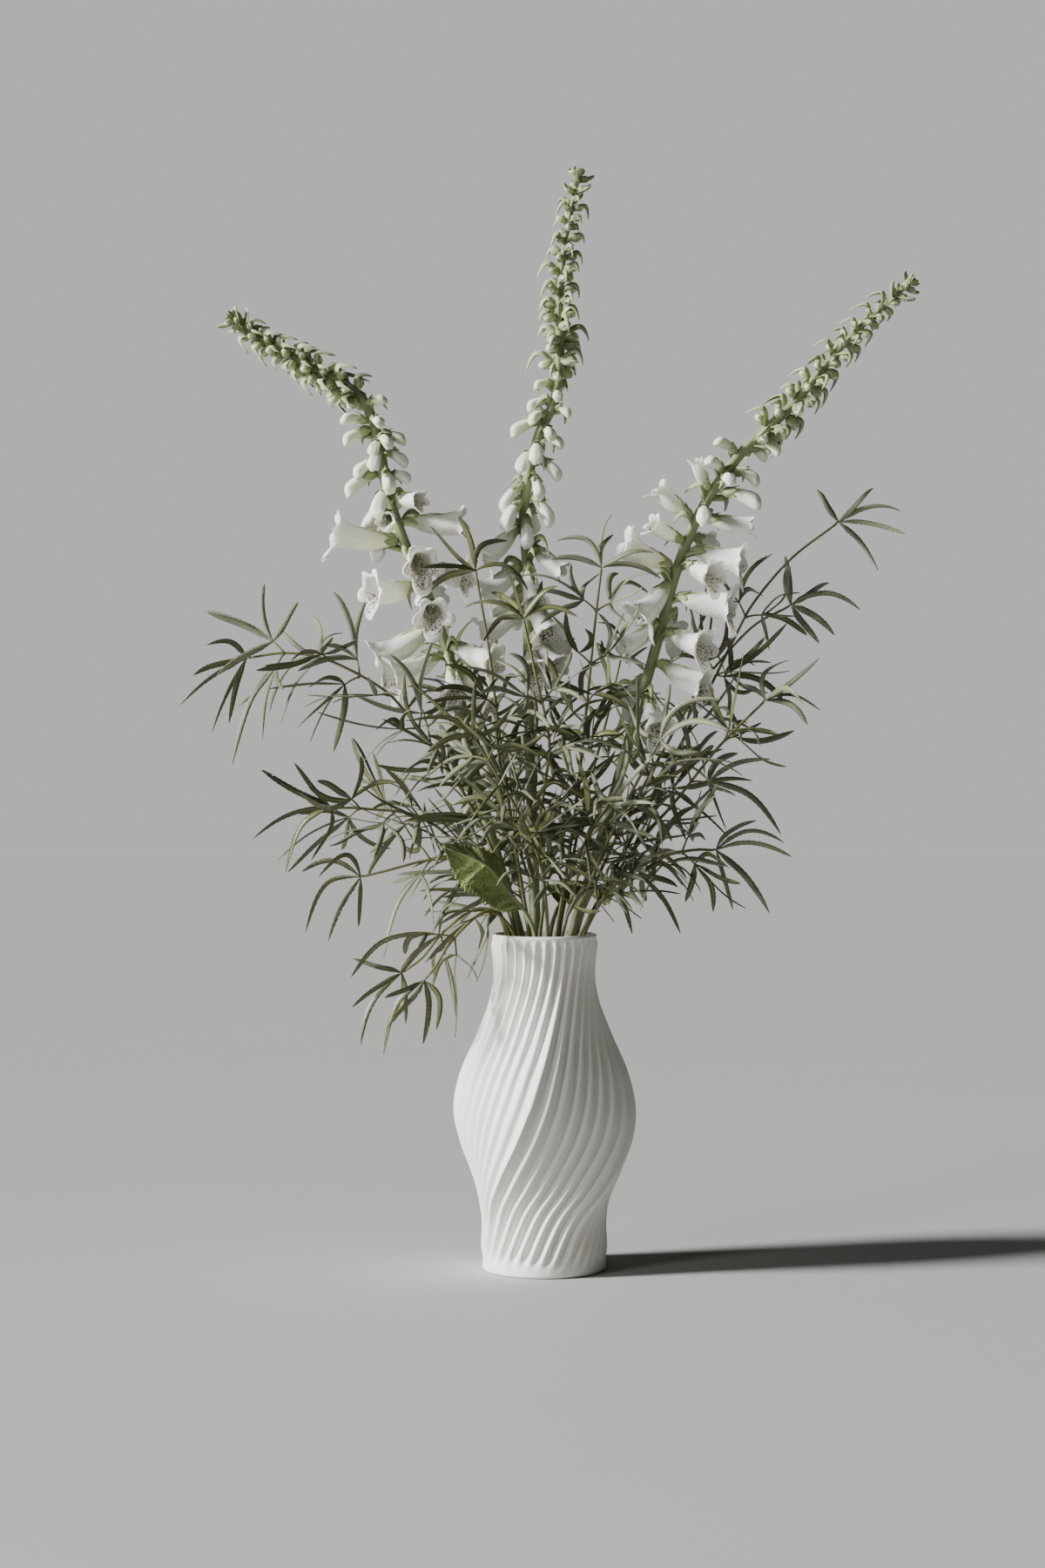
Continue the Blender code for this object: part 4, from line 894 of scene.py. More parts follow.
@functools.lru_cache(maxsize=None)
def patch(rows, columns, closed):
    """Corners and UVs of a grid's quads; a closed grid joins its last column to its first."""
    across = columns if closed else columns - 1
    i, j = np.meshgrid(np.arange(rows - 1), np.arange(across), indexing="ij")
    i, j = i.ravel(), j.ravel()
    down = np.stack([i, i, i + 1, i + 1], axis=1)
    over = np.stack([j, j + 1, j + 1, j], axis=1)
    uvs = np.stack([over / across, down / (rows - 1)], axis=2)
    return down * columns + over % columns, uvs


class Growth:
    """Closed solids gathered for one piece, in millimetres, with UVs and a tone and a seed."""

    def __init__(self):
        self.solids = []
        self.count = 0

    def add(self, points, quads, quad_uvs, triangles, triangle_uvs, tone, seed):
        """Takes in one closed solid, its faces turned to point out."""
        a, b, c, d = (points[quads[:, k]] for k in range(4))
        volume = (np.cross(a, b) * c).sum() + (np.cross(a, c) * d).sum()
        a, b, c = (points[triangles[:, k]] for k in range(3))
        volume += (np.cross(a, b) * c).sum()
        if volume < 0:
            quads, quad_uvs = quads[:, ::-1], quad_uvs[:, ::-1]
            triangles, triangle_uvs = triangles[:, ::-1], triangle_uvs[:, ::-1]
        self.solids.append((points, quads + self.count, quad_uvs, triangles + self.count,
                            triangle_uvs, np.full((len(points), 2), (tone, seed))))
        self.count += len(points)

    def piece(self, name, paint, slot, *nodes):
        """The object that these solids make, riding on the body and standing for its nodes."""
        old = bpy.data.objects.get(name)
        if old is not None and "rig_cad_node" not in old:
            bpy.data.objects.remove(old, do_unlink=True)
        points, quads, quad_uvs, triangles, triangle_uvs, looks = (
            np.concatenate(each) for each in zip(*self.solids))
        mesh = bpy.data.meshes.new(name)
        mesh.from_pydata(points * MM, [], quads.tolist() + triangles.tolist())
        layer = mesh.uv_layers.new(name="UVMap")
        uvs = np.concatenate([quad_uvs.ravel(), triangle_uvs.ravel()])
        layer.uv.foreach_set("vector", uvs.astype(np.float32))
        for title, values in zip(("tone", "seed"), looks.T):
            attribute = mesh.attributes.new(title, "FLOAT", "POINT")
            attribute.data.foreach_set("value", values.astype(np.float32))
        mesh.materials.append(paint)
        mesh.shade_smooth()
        made = bpy.data.objects.new(name, mesh)
        bpy.context.scene.collection.objects.link(made)
        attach(made, "root")
        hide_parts(*nodes)
        return made


def unit(vectors):
    """Vectors of length 1."""
    return vectors / np.maximum(np.linalg.norm(vectors, axis=-1, keepdims=True), 1e-9)


def as_array(vector):
    """A vector as an array."""
    return np.array(vector, dtype=float)


def turns(count):
    """Angles of so many even steps round an axis."""
    return math.tau * np.arange(count) / count


def round_axis(angles, first, second):
    """Ways out from an axis at given angles, from one of its sides towards the other."""
    return np.outer(np.cos(angles), first) + np.outer(np.sin(angles), second)


def fan_cap(ring, centre):
    """Triangles between a ring's point numbers and a centre."""
    return np.stack([np.roll(ring, -1), ring, np.full_like(ring, centre)], axis=1)


def between(ends, share):
    """A number at a share of the way from the first of two to the second."""
    return ends[0] * (1 - share) + ends[1] * share


def profile_at(profile, shares):
    """Radii at shares of a length, from a table of both."""
    table = np.array(profile)
    return np.interp(shares, table[:, 0], table[:, 1])


def closed_grid(growth, rings, start, end, tone=0.0, seed=0.0, uv_scale=(1, 1)):
    """A solid through rings of points, closed by a point at its start and one at its end."""
    rows, columns = rings.shape[:2]
    index, uvs = patch(rows, columns, True)
    points = np.concatenate([rings.reshape(-1, 3), [start, end]])
    first = np.arange(columns)
    caps = np.concatenate([fan_cap(first, rows * columns),
                           fan_cap(first + (rows - 1) * columns, rows * columns + 1)[:, ::-1]])
    cap_uvs = np.zeros((len(caps), 3, 2))
    share = (np.arange(columns)[:, None] + np.array([1, 0, 0.5])) / columns
    cap_uvs[:columns, :, 0] = share
    cap_uvs[columns:, :, 0] = share[:, ::-1]
    cap_uvs[columns:, :, 1] = 1.0
    growth.add(points, index, uvs * uv_scale, caps, cap_uvs * uv_scale, tone, seed)


def sheet(growth, top, under, tone=0.0, seed=0.0):
    """A thin blade of two layers joined at their edge; the top has the upper half of the UVs."""
    rows, columns = top.shape[:2]
    index, uvs = patch(rows, columns, False)
    count = rows * columns
    grid = np.arange(count).reshape(rows, columns)
    loop = np.concatenate([grid[0, :-1], grid[:-1, -1], grid[-1, :0:-1], grid[:0:-1, 0]])
    after = np.roll(loop, -1)
    rim = np.stack([after, loop, loop + count, after + count], axis=1)
    place = np.stack([(loop % columns) / (columns - 1), (loop // columns) / (rows - 1)], axis=1)
    place = place * (1, 0.5) + (0, 0.5)
    rim_uvs = np.stack([np.roll(place, -1, axis=0), place, place, np.roll(place, -1, axis=0)], axis=1)
    quads = np.concatenate([index, index[:, ::-1] + count, rim])
    quad_uvs = np.concatenate([uvs * (1, 0.5) + (0, 0.5), uvs[:, ::-1] * (1, 0.5), rim_uvs])
    points = np.concatenate([top.reshape(-1, 3), under.reshape(-1, 3)])
    no_triangles = np.zeros((0, 3), dtype=int)
    growth.add(points, quads, quad_uvs, no_triangles, np.zeros((0, 3, 2)), tone, seed)


def shell(growth, outer, inner, tone, seed):
    """A hollow solid open at its last ring; the inside has the upper half of the UVs."""
    rows, columns = outer.shape[:2]
    index, uvs = patch(rows, columns, True)
    count = rows * columns
    first = np.arange(columns)
    last = first + (rows - 1) * columns
    after = np.roll(last, -1)
    rim = np.stack([last, after, after + count, last + count], axis=1)
    rim_uvs = np.zeros((columns, 4, 2))
    rim_uvs[:, :, 0] = first[:, None] / columns + np.array([0, 1, 1, 0]) / columns
    rim_uvs[:, :, 1] = OUTSIDE_UV
    points = np.concatenate([outer.reshape(-1, 3), inner.reshape(-1, 3),
                             [outer[0].mean(axis=0), inner[0].mean(axis=0)]])
    quads = np.concatenate([index, index[:, ::-1] + count, rim])
    outer_uvs = uvs * (1, OUTSIDE_UV)
    inner_uvs = uvs[:, ::-1] * (1, OUTSIDE_UV) + (0, INSIDE_UV)
    quad_uvs = np.concatenate([outer_uvs, inner_uvs, rim_uvs])
    caps = np.concatenate([fan_cap(first, 2 * count), fan_cap(first + count, 2 * count + 1)[:, ::-1]])
    cap_uvs = np.zeros((len(caps), 3, 2))
    cap_uvs[columns:, :, 1] = INSIDE_UV
    growth.add(points, quads, quad_uvs, caps, cap_uvs, tone, seed)


def smooth_stem(line, radii, step):
    """A stem's points about a step apart, and their radii: straight in the vase, curved above."""
    points = [line[0]]
    sizes = [radii[0]]
    for i in range(len(line) - 1):
        b, c = line[i], line[i + 1]
        a = line[i - 1] if i > 1 else 2 * b - c
        d = line[i + 2] if i + 2 < len(line) else 2 * c - b
        count = max(1, round((c - b).length / (step if i else step * STRAIGHT_STEP)))
        for k in range(1, count + 1):
            t = k / count
            points.append(spline(a, b, c, d, t) if i else b.lerp(c, t))
            sizes.append(radii[i] + (radii[i + 1] - radii[i]) * t)
    return np.array(points), np.array(sizes)


def tube(growth, line, radii, sides, ribs=(0, 0.0), tone=0.0, seed=0.0):
    """A round stalk along a line, with fine ribs."""
    ways = unit(np.gradient(line, axis=0))
    side = unit(np.cross(ways[0], SLANT))
    angles = turns(sides)
    relief = 1 + ribs[1] * np.cos(ribs[0] * angles)
    rings = []
    for point, way, radius in zip(line, ways, radii):
        side = unit(side - way * (side @ way))
        radial = round_axis(angles, side, np.cross(way, side))
        rings.append(point + radial * (radius * relief)[:, None])
    length = np.linalg.norm(np.diff(line, axis=0), axis=1).sum()
    closed_grid(growth, np.array(rings), line[0] - ways[0] * radii[0] * STALK_ENDS[0],
                line[-1] + ways[-1] * radii[-1] * STALK_ENDS[1], tone, seed, (1, length / STALK_UV))


def blade(growth, line, side, half, fold, thick, tone, seed):
    """A leaf blade along a line, from its half width and the fold of its two halves."""
    across = np.array((-1, 0, 1))
    ways = unit(np.gradient(line, axis=0))
    side = unit(side - ways * (side * ways).sum(axis=1)[:, None])
    up = np.cross(side, ways)
    lift = fold * np.abs(across) * FOLD_LIFT
    top = (line[:, None] + side[:, None] * (across * half[:, None])[..., None]
           + up[:, None] * (lift * half[:, None])[..., None])
    low = top - up[:, None] * (thick * (1 - EDGE_THINNING * np.abs(across)))[None, :, None]
    sheet(growth, top, low, tone, seed)


def bend(a, b, c, rows):
    """Points of a curve that starts at a, passes b halfway and ends at c, and their shares."""
    t = np.linspace(0, 1, rows)
    pull = 2 * b - (a + c) / 2
    curve = (np.outer((1 - t) ** 2, a) + np.outer(2 * t * (1 - t), pull) + np.outer(t * t, c))
    return curve, t


def phase(draw):
    """A random start for a wave."""
    return draw.uniform(0, 6)


def own_look(draw):
    """A random tone and a seed for one solid."""
    return draw.uniform(-1, 1), draw.random()


# Leaflets, bracts and sepals


def narrow_leaflet(growth, hub, axis, chain, longer, draw):
    """A long, narrow leaflet with small teeth, folded a little along its midrib."""
    middle, tip = as_array(chain[1][0]), as_array(chain[2][0])
    longer = (tip - middle) * draw.uniform(*longer)
    if within_solids([tip + longer]):
        middle, tip = middle + longer * 0.4, tip + longer
    curve, t = bend(as_array(hub), middle, tip, LEAFLET_ROWS)
    out = unit(curve[-1] - curve[0])
    side = np.cross(as_array(axis), out)
    up = np.cross(side, out)
    twist = np.radians(draw.uniform(-LEAF_ROLL, LEAF_ROLL) + draw.uniform(-LEAF_TWIST, LEAF_TWIST) * t)
    side = side * np.cos(twist)[:, None] + up * np.sin(twist)[:, None]
    wave = unit(up) * (np.sin(t * LEAF_WAVES + phase(draw)) * LEAF_WAVE * t)[:, None]
    wave = wave + side * (np.sin(t * math.pi) * draw.uniform(-LEAF_SWAY, LEAF_SWAY))[:, None]
    reach = np.linalg.norm(curve[-1] - curve[0])
    curl = draw.uniform(-LEAF_CURL, LEAF_CURL) * 2
    wave = wave + side * (np.maximum(0, t - 0.3) ** 2 * curl)[:, None]
    wave[:, 2] -= np.maximum(0, t - 0.4) ** 2 * reach * draw.uniform(*LEAF_HOOK)
    shape = np.minimum(1, 0.22 + (t / 0.24) ** 1.1 * 0.78) * (1 - t ** 7) ** 0.8
    teeth = np.where(np.arange(LEAFLET_ROWS) % 2 == 0, 1 + TOOTH_DEPTH, 1 - TOOTH_DEPTH)
    width = LEAFLET_WIDTH * draw.uniform(*FULLNESS_RANGE)
    half = width / 2 * np.maximum(shape * teeth, 0.06)
    blade(growth, curve + wave, side, half, LEAF_FOLD * draw.uniform(0.5, 1.5), LEAF_THICK,
          *own_look(draw))


def hooked_bract(growth, root, way, along, length, width, rise, draw):
    """A narrow pointed bract that arches out, its tip turned down, or up in the topmost tuft."""
    middle = root + way * length * BRACT_MIDDLE[0] + along * length * BRACT_MIDDLE[1]
    tip = middle + way * length * BRACT_TIP + along * length * rise
    curve, t = bend(root, middle, tip, BRACT_ROWS)
    side = np.cross(along, way) + np.zeros_like(curve)
    half = width / 2 * np.maximum(np.sin(math.pi * (0.3 + 0.7 * t ** 0.9)) ** 0.8, 0.05)
    blade(growth, curve, side, half, BRACT_FOLD, BRACT_THICK, *own_look(draw))


def sepals(growth, base, axis, radius_at, length, width, spread, draw):
    """Sepals that clasp the foot of a flower or a bud."""
    level, other = (as_array(w) for w in side_ways(Vector(axis)))
    first = draw.uniform(0, math.tau)
    t = np.linspace(0, 1, SEPAL_ROWS)
    for k in range(SEPALS):
        angle = first + math.tau * k / SEPALS + draw.uniform(-0.12, 0.12)
        out = level * math.cos(angle) + other * math.sin(angle)
        long = length * draw.uniform(0.88, 1.1)
        far = 0.8 + (radius_at(long * t) - 0.8) * np.minimum(1, t * 4 + 0.25) + 0.5 + spread * t * t
        curve = base + np.outer(long * t, axis) + np.outer(far, out)
        side = np.cross(axis, out) + np.zeros_like(curve)
        half = width / 2 * np.maximum(np.sin(math.pi * (0.16 + 0.84 * t ** 0.85)) ** 0.75, 0.06)
        blade(growth, curve, side, half, SEPAL_FOLD, SEPAL_THICK, *own_look(draw))


# Flowers and buds


def flower_frame(axis):
    """The lower side of a flower's mouth, and the way across it."""
    down = np.array((0, 0, -1.0)) + axis * axis[2]
    if np.linalg.norm(down) < 0.15:
        down = as_array(side_ways(Vector(axis))[0])
    down = unit(down)
    return down, np.cross(axis, down)


def bell_radius(shares, mouth):
    """Radius of a bell's tube at shares of its length, with a mouth of its own width."""
    widening = mouth / BELL_PROFILE[-1][1] - 1
    return profile_at(BELL_PROFILE, shares) * (1 + widening * np.clip(shares, 0, 1) ** 3)


def bell_tube(start, axis, down, radial, angles, length, girth, mouth, draw):
    """Rings of a bell's tube, each a little uneven."""
    wobble = 1
    for waves, depth in BELL_OVALS:
        wobble = wobble + depth * np.sin(waves * angles + phase(draw))
    shares = np.linspace(0, 1, TUBE_ROWS)
    dent, twist = phase(draw), phase(draw)
    rings = []
    for share, radius in zip(shares, bell_radius(shares, mouth) * girth):
        curve = down * length * BELL_CURVE * math.sin(math.pi * share)
        centre = start + axis * (length * TUBE_LENGTH + TUBE_INSET) * share + curve
        ridge = 1 + BELL_RIDGES[1] * share * np.cos(BELL_RIDGES[0] * angles)
        belly = 1 + BELL_SWELLING * math.sin(math.pi * share) * np.cos(angles)
        dents = 1 + BELL_DENTS * share * math.sin(7 * share + dent) * np.sin(3 * angles + twist)
        rings.append(centre + radial * (radius * wobble * ridge * belly * dents)[:, None])
    return rings


def bell_lip(edge, axis, radial, angles, girth, flare, draw):
    """Rings of a bell's lip: five ruffled lobes that lean out from the tube's edge."""
    reach = np.full(BELL_COLUMNS, LIP_LEAST)
    grown = LIP_YOUNG + (1 - LIP_YOUNG) * flare
    for place, wide, far in BELL_LOBES:
        far *= draw.uniform(0.8, 1.2)
        off = (np.degrees(angles) - place + draw.uniform(-7, 7) + 180) % 360 - 180
        near = np.clip(np.abs(off) / wide, 0, 1)
        reach = np.maximum(reach, LIP_LEAST + far * grown * (1 - near ** 1.9))
    droop = 0.5 + 0.5 * np.cos(angles)
    ruffle = sum(depth * np.sin(waves * angles + phase(draw)) for waves, depth in RUFFLES)
    rings = []
    for k in range(1, LIP_ROWS + 1):
        share = k / LIP_ROWS
        lean = np.radians((LIP_LEAN[0] + LIP_LEAN[1] * share ** 1.1) * flare * (1 - 0.2 * droop))
        step = reach * girth / LIP_ROWS
        edge = edge + np.outer(step * np.cos(lean), axis) + radial * (step * np.sin(lean))[:, None]
        depth = RUFFLE_DEPTH * girth * share * share * flare
        rings.append(edge + np.outer(depth * ruffle, axis))
    return rings


def bell_wall(petals, outer, radial, tone, seed):
    """The thin wall of a bell, its inside a petal's thickness from its outside."""
    over = np.roll(outer, -1, axis=1) - np.roll(outer, 1, axis=1)
    normal = unit(np.cross(over, np.gradient(outer, axis=0)))
    if (normal[:TUBE_ROWS] * radial).sum() < 0:
        normal = -normal
    thick = np.interp(np.arange(len(outer)), (0, len(outer) - 1), PETAL_THICK)
    shell(petals, outer, outer - normal * thick[:, None, None], tone, seed)


def open_flower(petals, greens, root, mouth, opened, draw):
    """A bell on its stalk: calyx, belly, and a lip of five lobes, the lowest one the longest."""
    root, mouth = as_array(root), as_array(mouth)
    axis = unit(mouth - root)
    length = np.linalg.norm(mouth - root) - CALYX_REACH
    girth = min(length, BELL_GIRTH) * draw.uniform(0.95, 1.1)
    flare = min(1.0, max(0.0, (opened - 0.3) / 0.7)) * draw.uniform(0.85, 1.1)
    mouth_share = MOUTH_RADIUS[0] + MOUTH_RADIUS[1] * flare
    down, across = flower_frame(axis)
    start = root + axis * (CALYX_REACH - TUBE_INSET)
    angles = turns(BELL_COLUMNS) - math.pi
    radial = round_axis(angles, down, across)
    rings = bell_tube(start, axis, down, radial, angles, length, girth, mouth_share, draw)
    rings += bell_lip(rings[-1], axis, radial, angles, girth, flare, draw)
    seed = draw.random()
    bell_wall(petals, np.array(rings), radial, 0.06 + 0.25 * (1 - min(1.0, opened)), seed)
    add_stamens(petals, start, axis, down, length, girth, seed)
    stalk(greens, root, axis, CALYX_REACH - 1.5, BELL_STALK, draw)
    tube_length = length * TUBE_LENGTH + TUBE_INSET
    sepals(greens, root + axis * (CALYX_REACH - 4.5), axis,
           lambda far: bell_radius(np.maximum(far - 2, 0) / tube_length, mouth_share) * girth,
           SEPAL_LENGTH * min(1.0, 0.6 + length / 90), SEPAL_WIDTH, 0.9, draw)


def add_stamens(petals, start, axis, down, length, girth, seed):
    """A style and two pairs of stamens that lie along the upper side of a bell."""
    across = np.cross(axis, down)
    for offset, far, tip in STAMENS:
        a = start + axis * 3 + across * offset * 0.4
        b = start + (axis * length * far * 0.5 - down * girth * STAMEN_RISE[0] + across * offset)
        c = start + (axis * length * far - down * girth * STAMEN_RISE[1] + across * offset)
        curve, _ = bend(a, b, c, STAMEN_ROWS)
        radii = np.array([STAMEN_RADIUS] * (STAMEN_ROWS - 2) + [tip, tip * 0.7])
        tube(petals, curve, radii, STAMEN_SIDES, tone=STAMEN_TONE, seed=seed)


def stalk(greens, root, axis, length, radius, draw):
    """A flower's own stalk."""
    line = root + np.outer(np.linspace(0, length, len(STALK_SWELLING)), axis)
    tube(greens, line, np.array(STALK_SWELLING) * radius, STALK_SIDES, tone=draw.uniform(-1, 1))


def revolved(growth, start, axis, length, thick, profile, grid, creases, tone, draw, sag=0.0):
    """A bud: rings along an axis that may sag, with the creases of its folded lobes near its tip."""
    rows, columns = grid
    shares = np.sin(np.linspace(0, math.pi / 2, rows)) ** 0.9 * profile[-1][0]
    radius = profile_at(profile, shares) * thick
    level, other = (as_array(w) for w in side_ways(Vector(axis)))
    angles = turns(columns) + draw.uniform(0, 1)
    radial = round_axis(angles, level, other)
    folds = 1 + creases * np.outer(shares ** 2, np.cos(len(BELL_LOBES) * angles))
    down = flower_frame(axis)[0] * length * sag
    rings = ((start + np.outer(shares * length, axis) + np.outer(shares ** 2, down))[:, None]
             + radial[None] * (radius[:, None] * folds)[..., None])
    closed_grid(growth, rings, start - axis * 0.5, start + axis * length + down, tone,
                draw.random(), (1, CLOSED_UV))


def closed_flower(petals, greens, root, mouth, opened, draw):
    """A closed flower: a long rounded bud with its sepals over its foot."""
    root, mouth = as_array(root), as_array(mouth)
    axis = unit(mouth - root)
    reach = np.linalg.norm(mouth - root)
    base = min(CALYX_REACH, reach * 0.2)
    length = reach - base + 3.5
    thick = BUD_RADIUS[0] + BUD_RADIUS[1] * reach
    green = 0.1 + 0.42 * max(0.0, 1 - opened / 0.3)
    revolved(petals, root + axis * (base - 1), axis, length, thick, BUD_PROFILE, BUD_GRID,
             BUD_CREASES, green, draw, BUD_SAG)
    stalk(greens, root, axis, base, BUD_STALK, draw)
    sepals(greens, root + axis * (base - 1.5), axis,
           lambda far: profile_at(BUD_PROFILE, (far - 0.5) / length) * thick,
           min(SEPAL_LENGTH, length * 0.5), thick * 1.15, 0.5, draw)


def spike_bud(petals, greens, top, number, draw):
    """A small bud of a spike, with its stalk, its sepals and the bract below it."""
    share = (number / SPIKE_COUNT) ** SPIKE_CROWDING * SPIKE_SHARE
    root, along = at_share(top, share)
    level, _ = side_ways(along)
    way = turned(level, along, SPIKE_TURN * number)
    size = between(SPIKE_BUD_LENGTH, share)
    size *= draw.uniform(0.88, 1.15) * (1 - 0.4 * max(0.0, way.z))
    core = between(SPIKE_CORE, share)
    root, along, way = as_array(root), as_array(along), as_array(way)
    out = unit(way + along * (0.1 + 0.5 * share) + np.array((0, 0, -0.35)))
    base = root + out * (core + 0.5)
    stalk(greens, root, out, core + 1.2, SMALL_STALK, draw)
    revolved(petals, base, out, size, size, SMALL_BUD, SMALL_BUD_GRID, SMALL_BUD_CREASES,
             0.5 + 0.3 * share, draw)
    sepals(greens, base - out * 0.8, out, lambda far: profile_at(SMALL_BUD, far / size) * size,
           size * 0.95, size * 0.46, 0.6, draw)
    lower = as_array(turned(Vector(way), Vector(along), draw.uniform(-14, 14)))
    long = between(SPIKE_BRACT, share) * draw.uniform(0.75, 1.15)
    rise = TUFT_RISE if share > TUFT_FROM else -SPIKE_BRACT_DIP * draw.uniform(0.7, 1.4)
    hooked_bract(greens, root - along * (2.5 - share), lower, along, long,
                 between(SPIKE_BRACT_WIDTH, share), rise, draw)


def spike_buds(petals, greens, name, line, draw):
    """The spike's top: small buds and bracts that wind round it, and a tuft at its tip."""
    start = next(k for k, p in enumerate(line) if p.z > SPIKE_START[name])
    top = [at_height(line, SPIKE_START[name])[0]] + line[start:]
    for number in range(SPIKE_COUNT):
        spike_bud(petals, greens, top, number, draw)
    tip, along = as_array(line[-1]), as_array((line[-1] - line[-2]).normalized())
    level, _ = side_ways(Vector(along))
    for k in range(TUFT_BRACTS):
        way = as_array(turned(level, Vector(along), 360 * k / TUFT_BRACTS))
        lean = draw.uniform(0.3, 0.8)
        hooked_bract(greens, tip - along * BRACT_DROP, way * lean, along, draw.uniform(*TOP_BRACT),
                     TOP_BRACT_WIDTH, TOP_BRACT_RISE, draw)


def flower_bract(greens, line, root, mouth, opened, draw):
    """The bract below a bell or a closed flower."""
    _, along = at_height(line, root.z)
    way = mouth - root
    way = (way - along * way.dot(along)).normalized()
    long = draw.uniform(*(BELL_BRACT if opened > OPEN_FROM else BUD_BRACT))
    side = as_array(turned(way, along, draw.uniform(-30, 30)))
    along = as_array(along)
    hooked_bract(greens, as_array(root) - along * BRACT_DROP, side, along, long,
                 FLOWER_BRACT_WIDTH, draw.uniform(*FLOWER_BRACT_RISE), draw)


# Foxgloves, sprigs and broad leaves


def make_foxglove(name, line, radii, flowers, paints):
    """A foxglove in three pieces: its stem, its petals, and its calyxes, stalks and bracts."""
    full = "foxglove_" + name
    draw = random.Random(40 + list(FOXGLOVES).index(name))
    stem, petals, greens = Growth(), Growth(), Growth()
    high = [k for k, p in enumerate(line) if p.z > SPIKE_START[name]]
    radii = list(radii[:high[0]]) + tapered(len(high), SPIKE_CORE)
    points, sizes = smooth_stem(line, radii, RING_STEP)
    tube(stem, points, sizes, STEM_SIDES["foxglove"], FOXGLOVE_RIBS)
    for root, mouth, opened in flowers:
        make_flower = open_flower if opened > OPEN_FROM else closed_flower
        make_flower(petals, greens, root, mouth, opened, draw)
        flower_bract(greens, line, root, mouth, opened, draw)
    spike_buds(petals, greens, name, line, draw)
    stem.piece(full + "_stem", paints["stem"], "foxglove", full)
    petals.piece(full + "_petals", paints["petal"], "foxglove", full)
    greens.piece(full + "_greens", paints["green"], "foxglove", full)


def make_sprig(name, line, radii, leaves, paints):
    """A leafy sprig in two pieces: its woody stem with the leaf stalks, and its leaflets."""
    draw = random.Random(900 + list(SPRIGS).index(name.removeprefix("sprig_")))
    wood, foliage = Growth(), Growth()
    points, sizes = smooth_stem(line, list(radii), RING_STEP)
    tube(wood, points, sizes, STEM_SIDES["sprig"], SPRIG_RIBS)
    for node, hub, axis, leaflets in leaves:
        node_point, hub_point = as_array(node), as_array(hub)
        line_points, t = bend(node_point, (node_point + hub_point) / 2 + (0, 0, 0.8), hub_point, 6)
        tube(wood, line_points, np.interp(t, (0, 0.2, 1), LEAF_STALK_RADII), STALK_SIDES)
        for chain in leaflets:
            narrow_leaflet(foliage, hub, axis, chain,
                           LEAF_GROWTH if name in LONG_LEAVED else SHORT_GROWTH, draw)
    wood.piece(name + "_stem", paints["wood"], "sprig", name)
    foliage.piece(name + "_leaves", paints["leaf"], "sprig", name)


def make_broad_leaf(name, line, radii, paints):
    """A broad leaf in two pieces: its stalk with the midrib, and its toothed, veined blade."""
    full = "broad_leaf_" + name
    stem, leaf = Growth(), Growth()
    points, sizes = smooth_stem(line, list(radii), RING_STEP)
    tube(stem, points, sizes, STEM_SIDES["broad_leaf"], BROAD_RIBS)
    above = [p for p in line if p.z > VASE_HEIGHT + BLADE_START or p is line[-1]]
    rows, columns = BROAD_GRID
    across = np.linspace(-1, 1, columns)
    out = np.abs(across)
    folded, roll = BROAD_FOLD[name], BROAD_ROLL[name]
    top, low = [], []
    for k in range(rows):
        share = k / (rows - 1)
        point, along = at_share(above, BROAD_FOOT + (1 - BROAD_FOOT) * share)
        side, up = (as_array(turned(way, along, roll)) for way in side_ways(along))
        point, along = as_array(point), as_array(along)
        half = BROAD_WIDTH / 2 * math.sin(math.pi * share ** BROAD_SPREAD) ** 0.85
        half = max(half, BROAD_LEAST)
        tooth = 1 + BROAD_TEETH * (k % 3 - 1) * out ** 5
        quilt = np.cos(math.tau * (share * BROAD_VEINS - out * 1.1))
        swell = BROAD_QUILT * quilt * out ** 0.6 * (1 - out ** 3) * min(1, half / 10)
        wave = BROAD_WAVE * math.sin(share * BROAD_WAVES) * out ** 2
        x = across * half * tooth
        lift = np.abs(x) * math.sin(folded) * (1 - 0.2 * out) + swell + wave
        row = (point + np.outer(x * math.cos(folded), side) + np.outer(lift, up)
               + np.outer(BROAD_SWEEP * out, along))
        top.append(row)
        low.append(row - up * BROAD_THICK * (1 - 0.4 * out)[:, None])
    sheet(leaf, np.array(top), np.array(low))
    stem.piece(full + "_stalk", paints["stem"], "broad_leaf", full)
    leaf.piece(full + "_blade", paints["broad"], "broad_leaf", full)


# Vase


def vase_ring(radius, height, shares):
    """Points of a ring of the vase, its radius a number or one for each share of a turn."""
    angles = math.radians(eased(CREST_TURN, height)) + math.tau * shares
    return np.stack([radius * np.sin(angles), -radius * np.cos(angles),
                     np.full_like(shares, height)], axis=1)


def flute_radius(height, shares, inset, relief):
    """Radii of the wall at a height, with the flutes where they are asked for."""
    lobe = np.abs(np.sin(4 * math.pi * shares)) ** CREST_SHARPNESS
    radius = eased(CREST_RADIUS, height) * (1 - eased(SQUARENESS, height) * lobe) - inset
    rise = min(1.0, max(0.0, (height - FLUTE_FOOT) / FLUTE_RUNS[0]))
    fade = min(1.0, max(0.0, (FLUTE_RIM - height) / FLUTE_RUNS[1]))
    full = ((1 + np.cos(math.tau * FLUTES * shares)) / 2) ** FLUTE_FULLNESS * 2 - 1
    return radius + relief * FLUTE_DEPTH * rise * fade * full


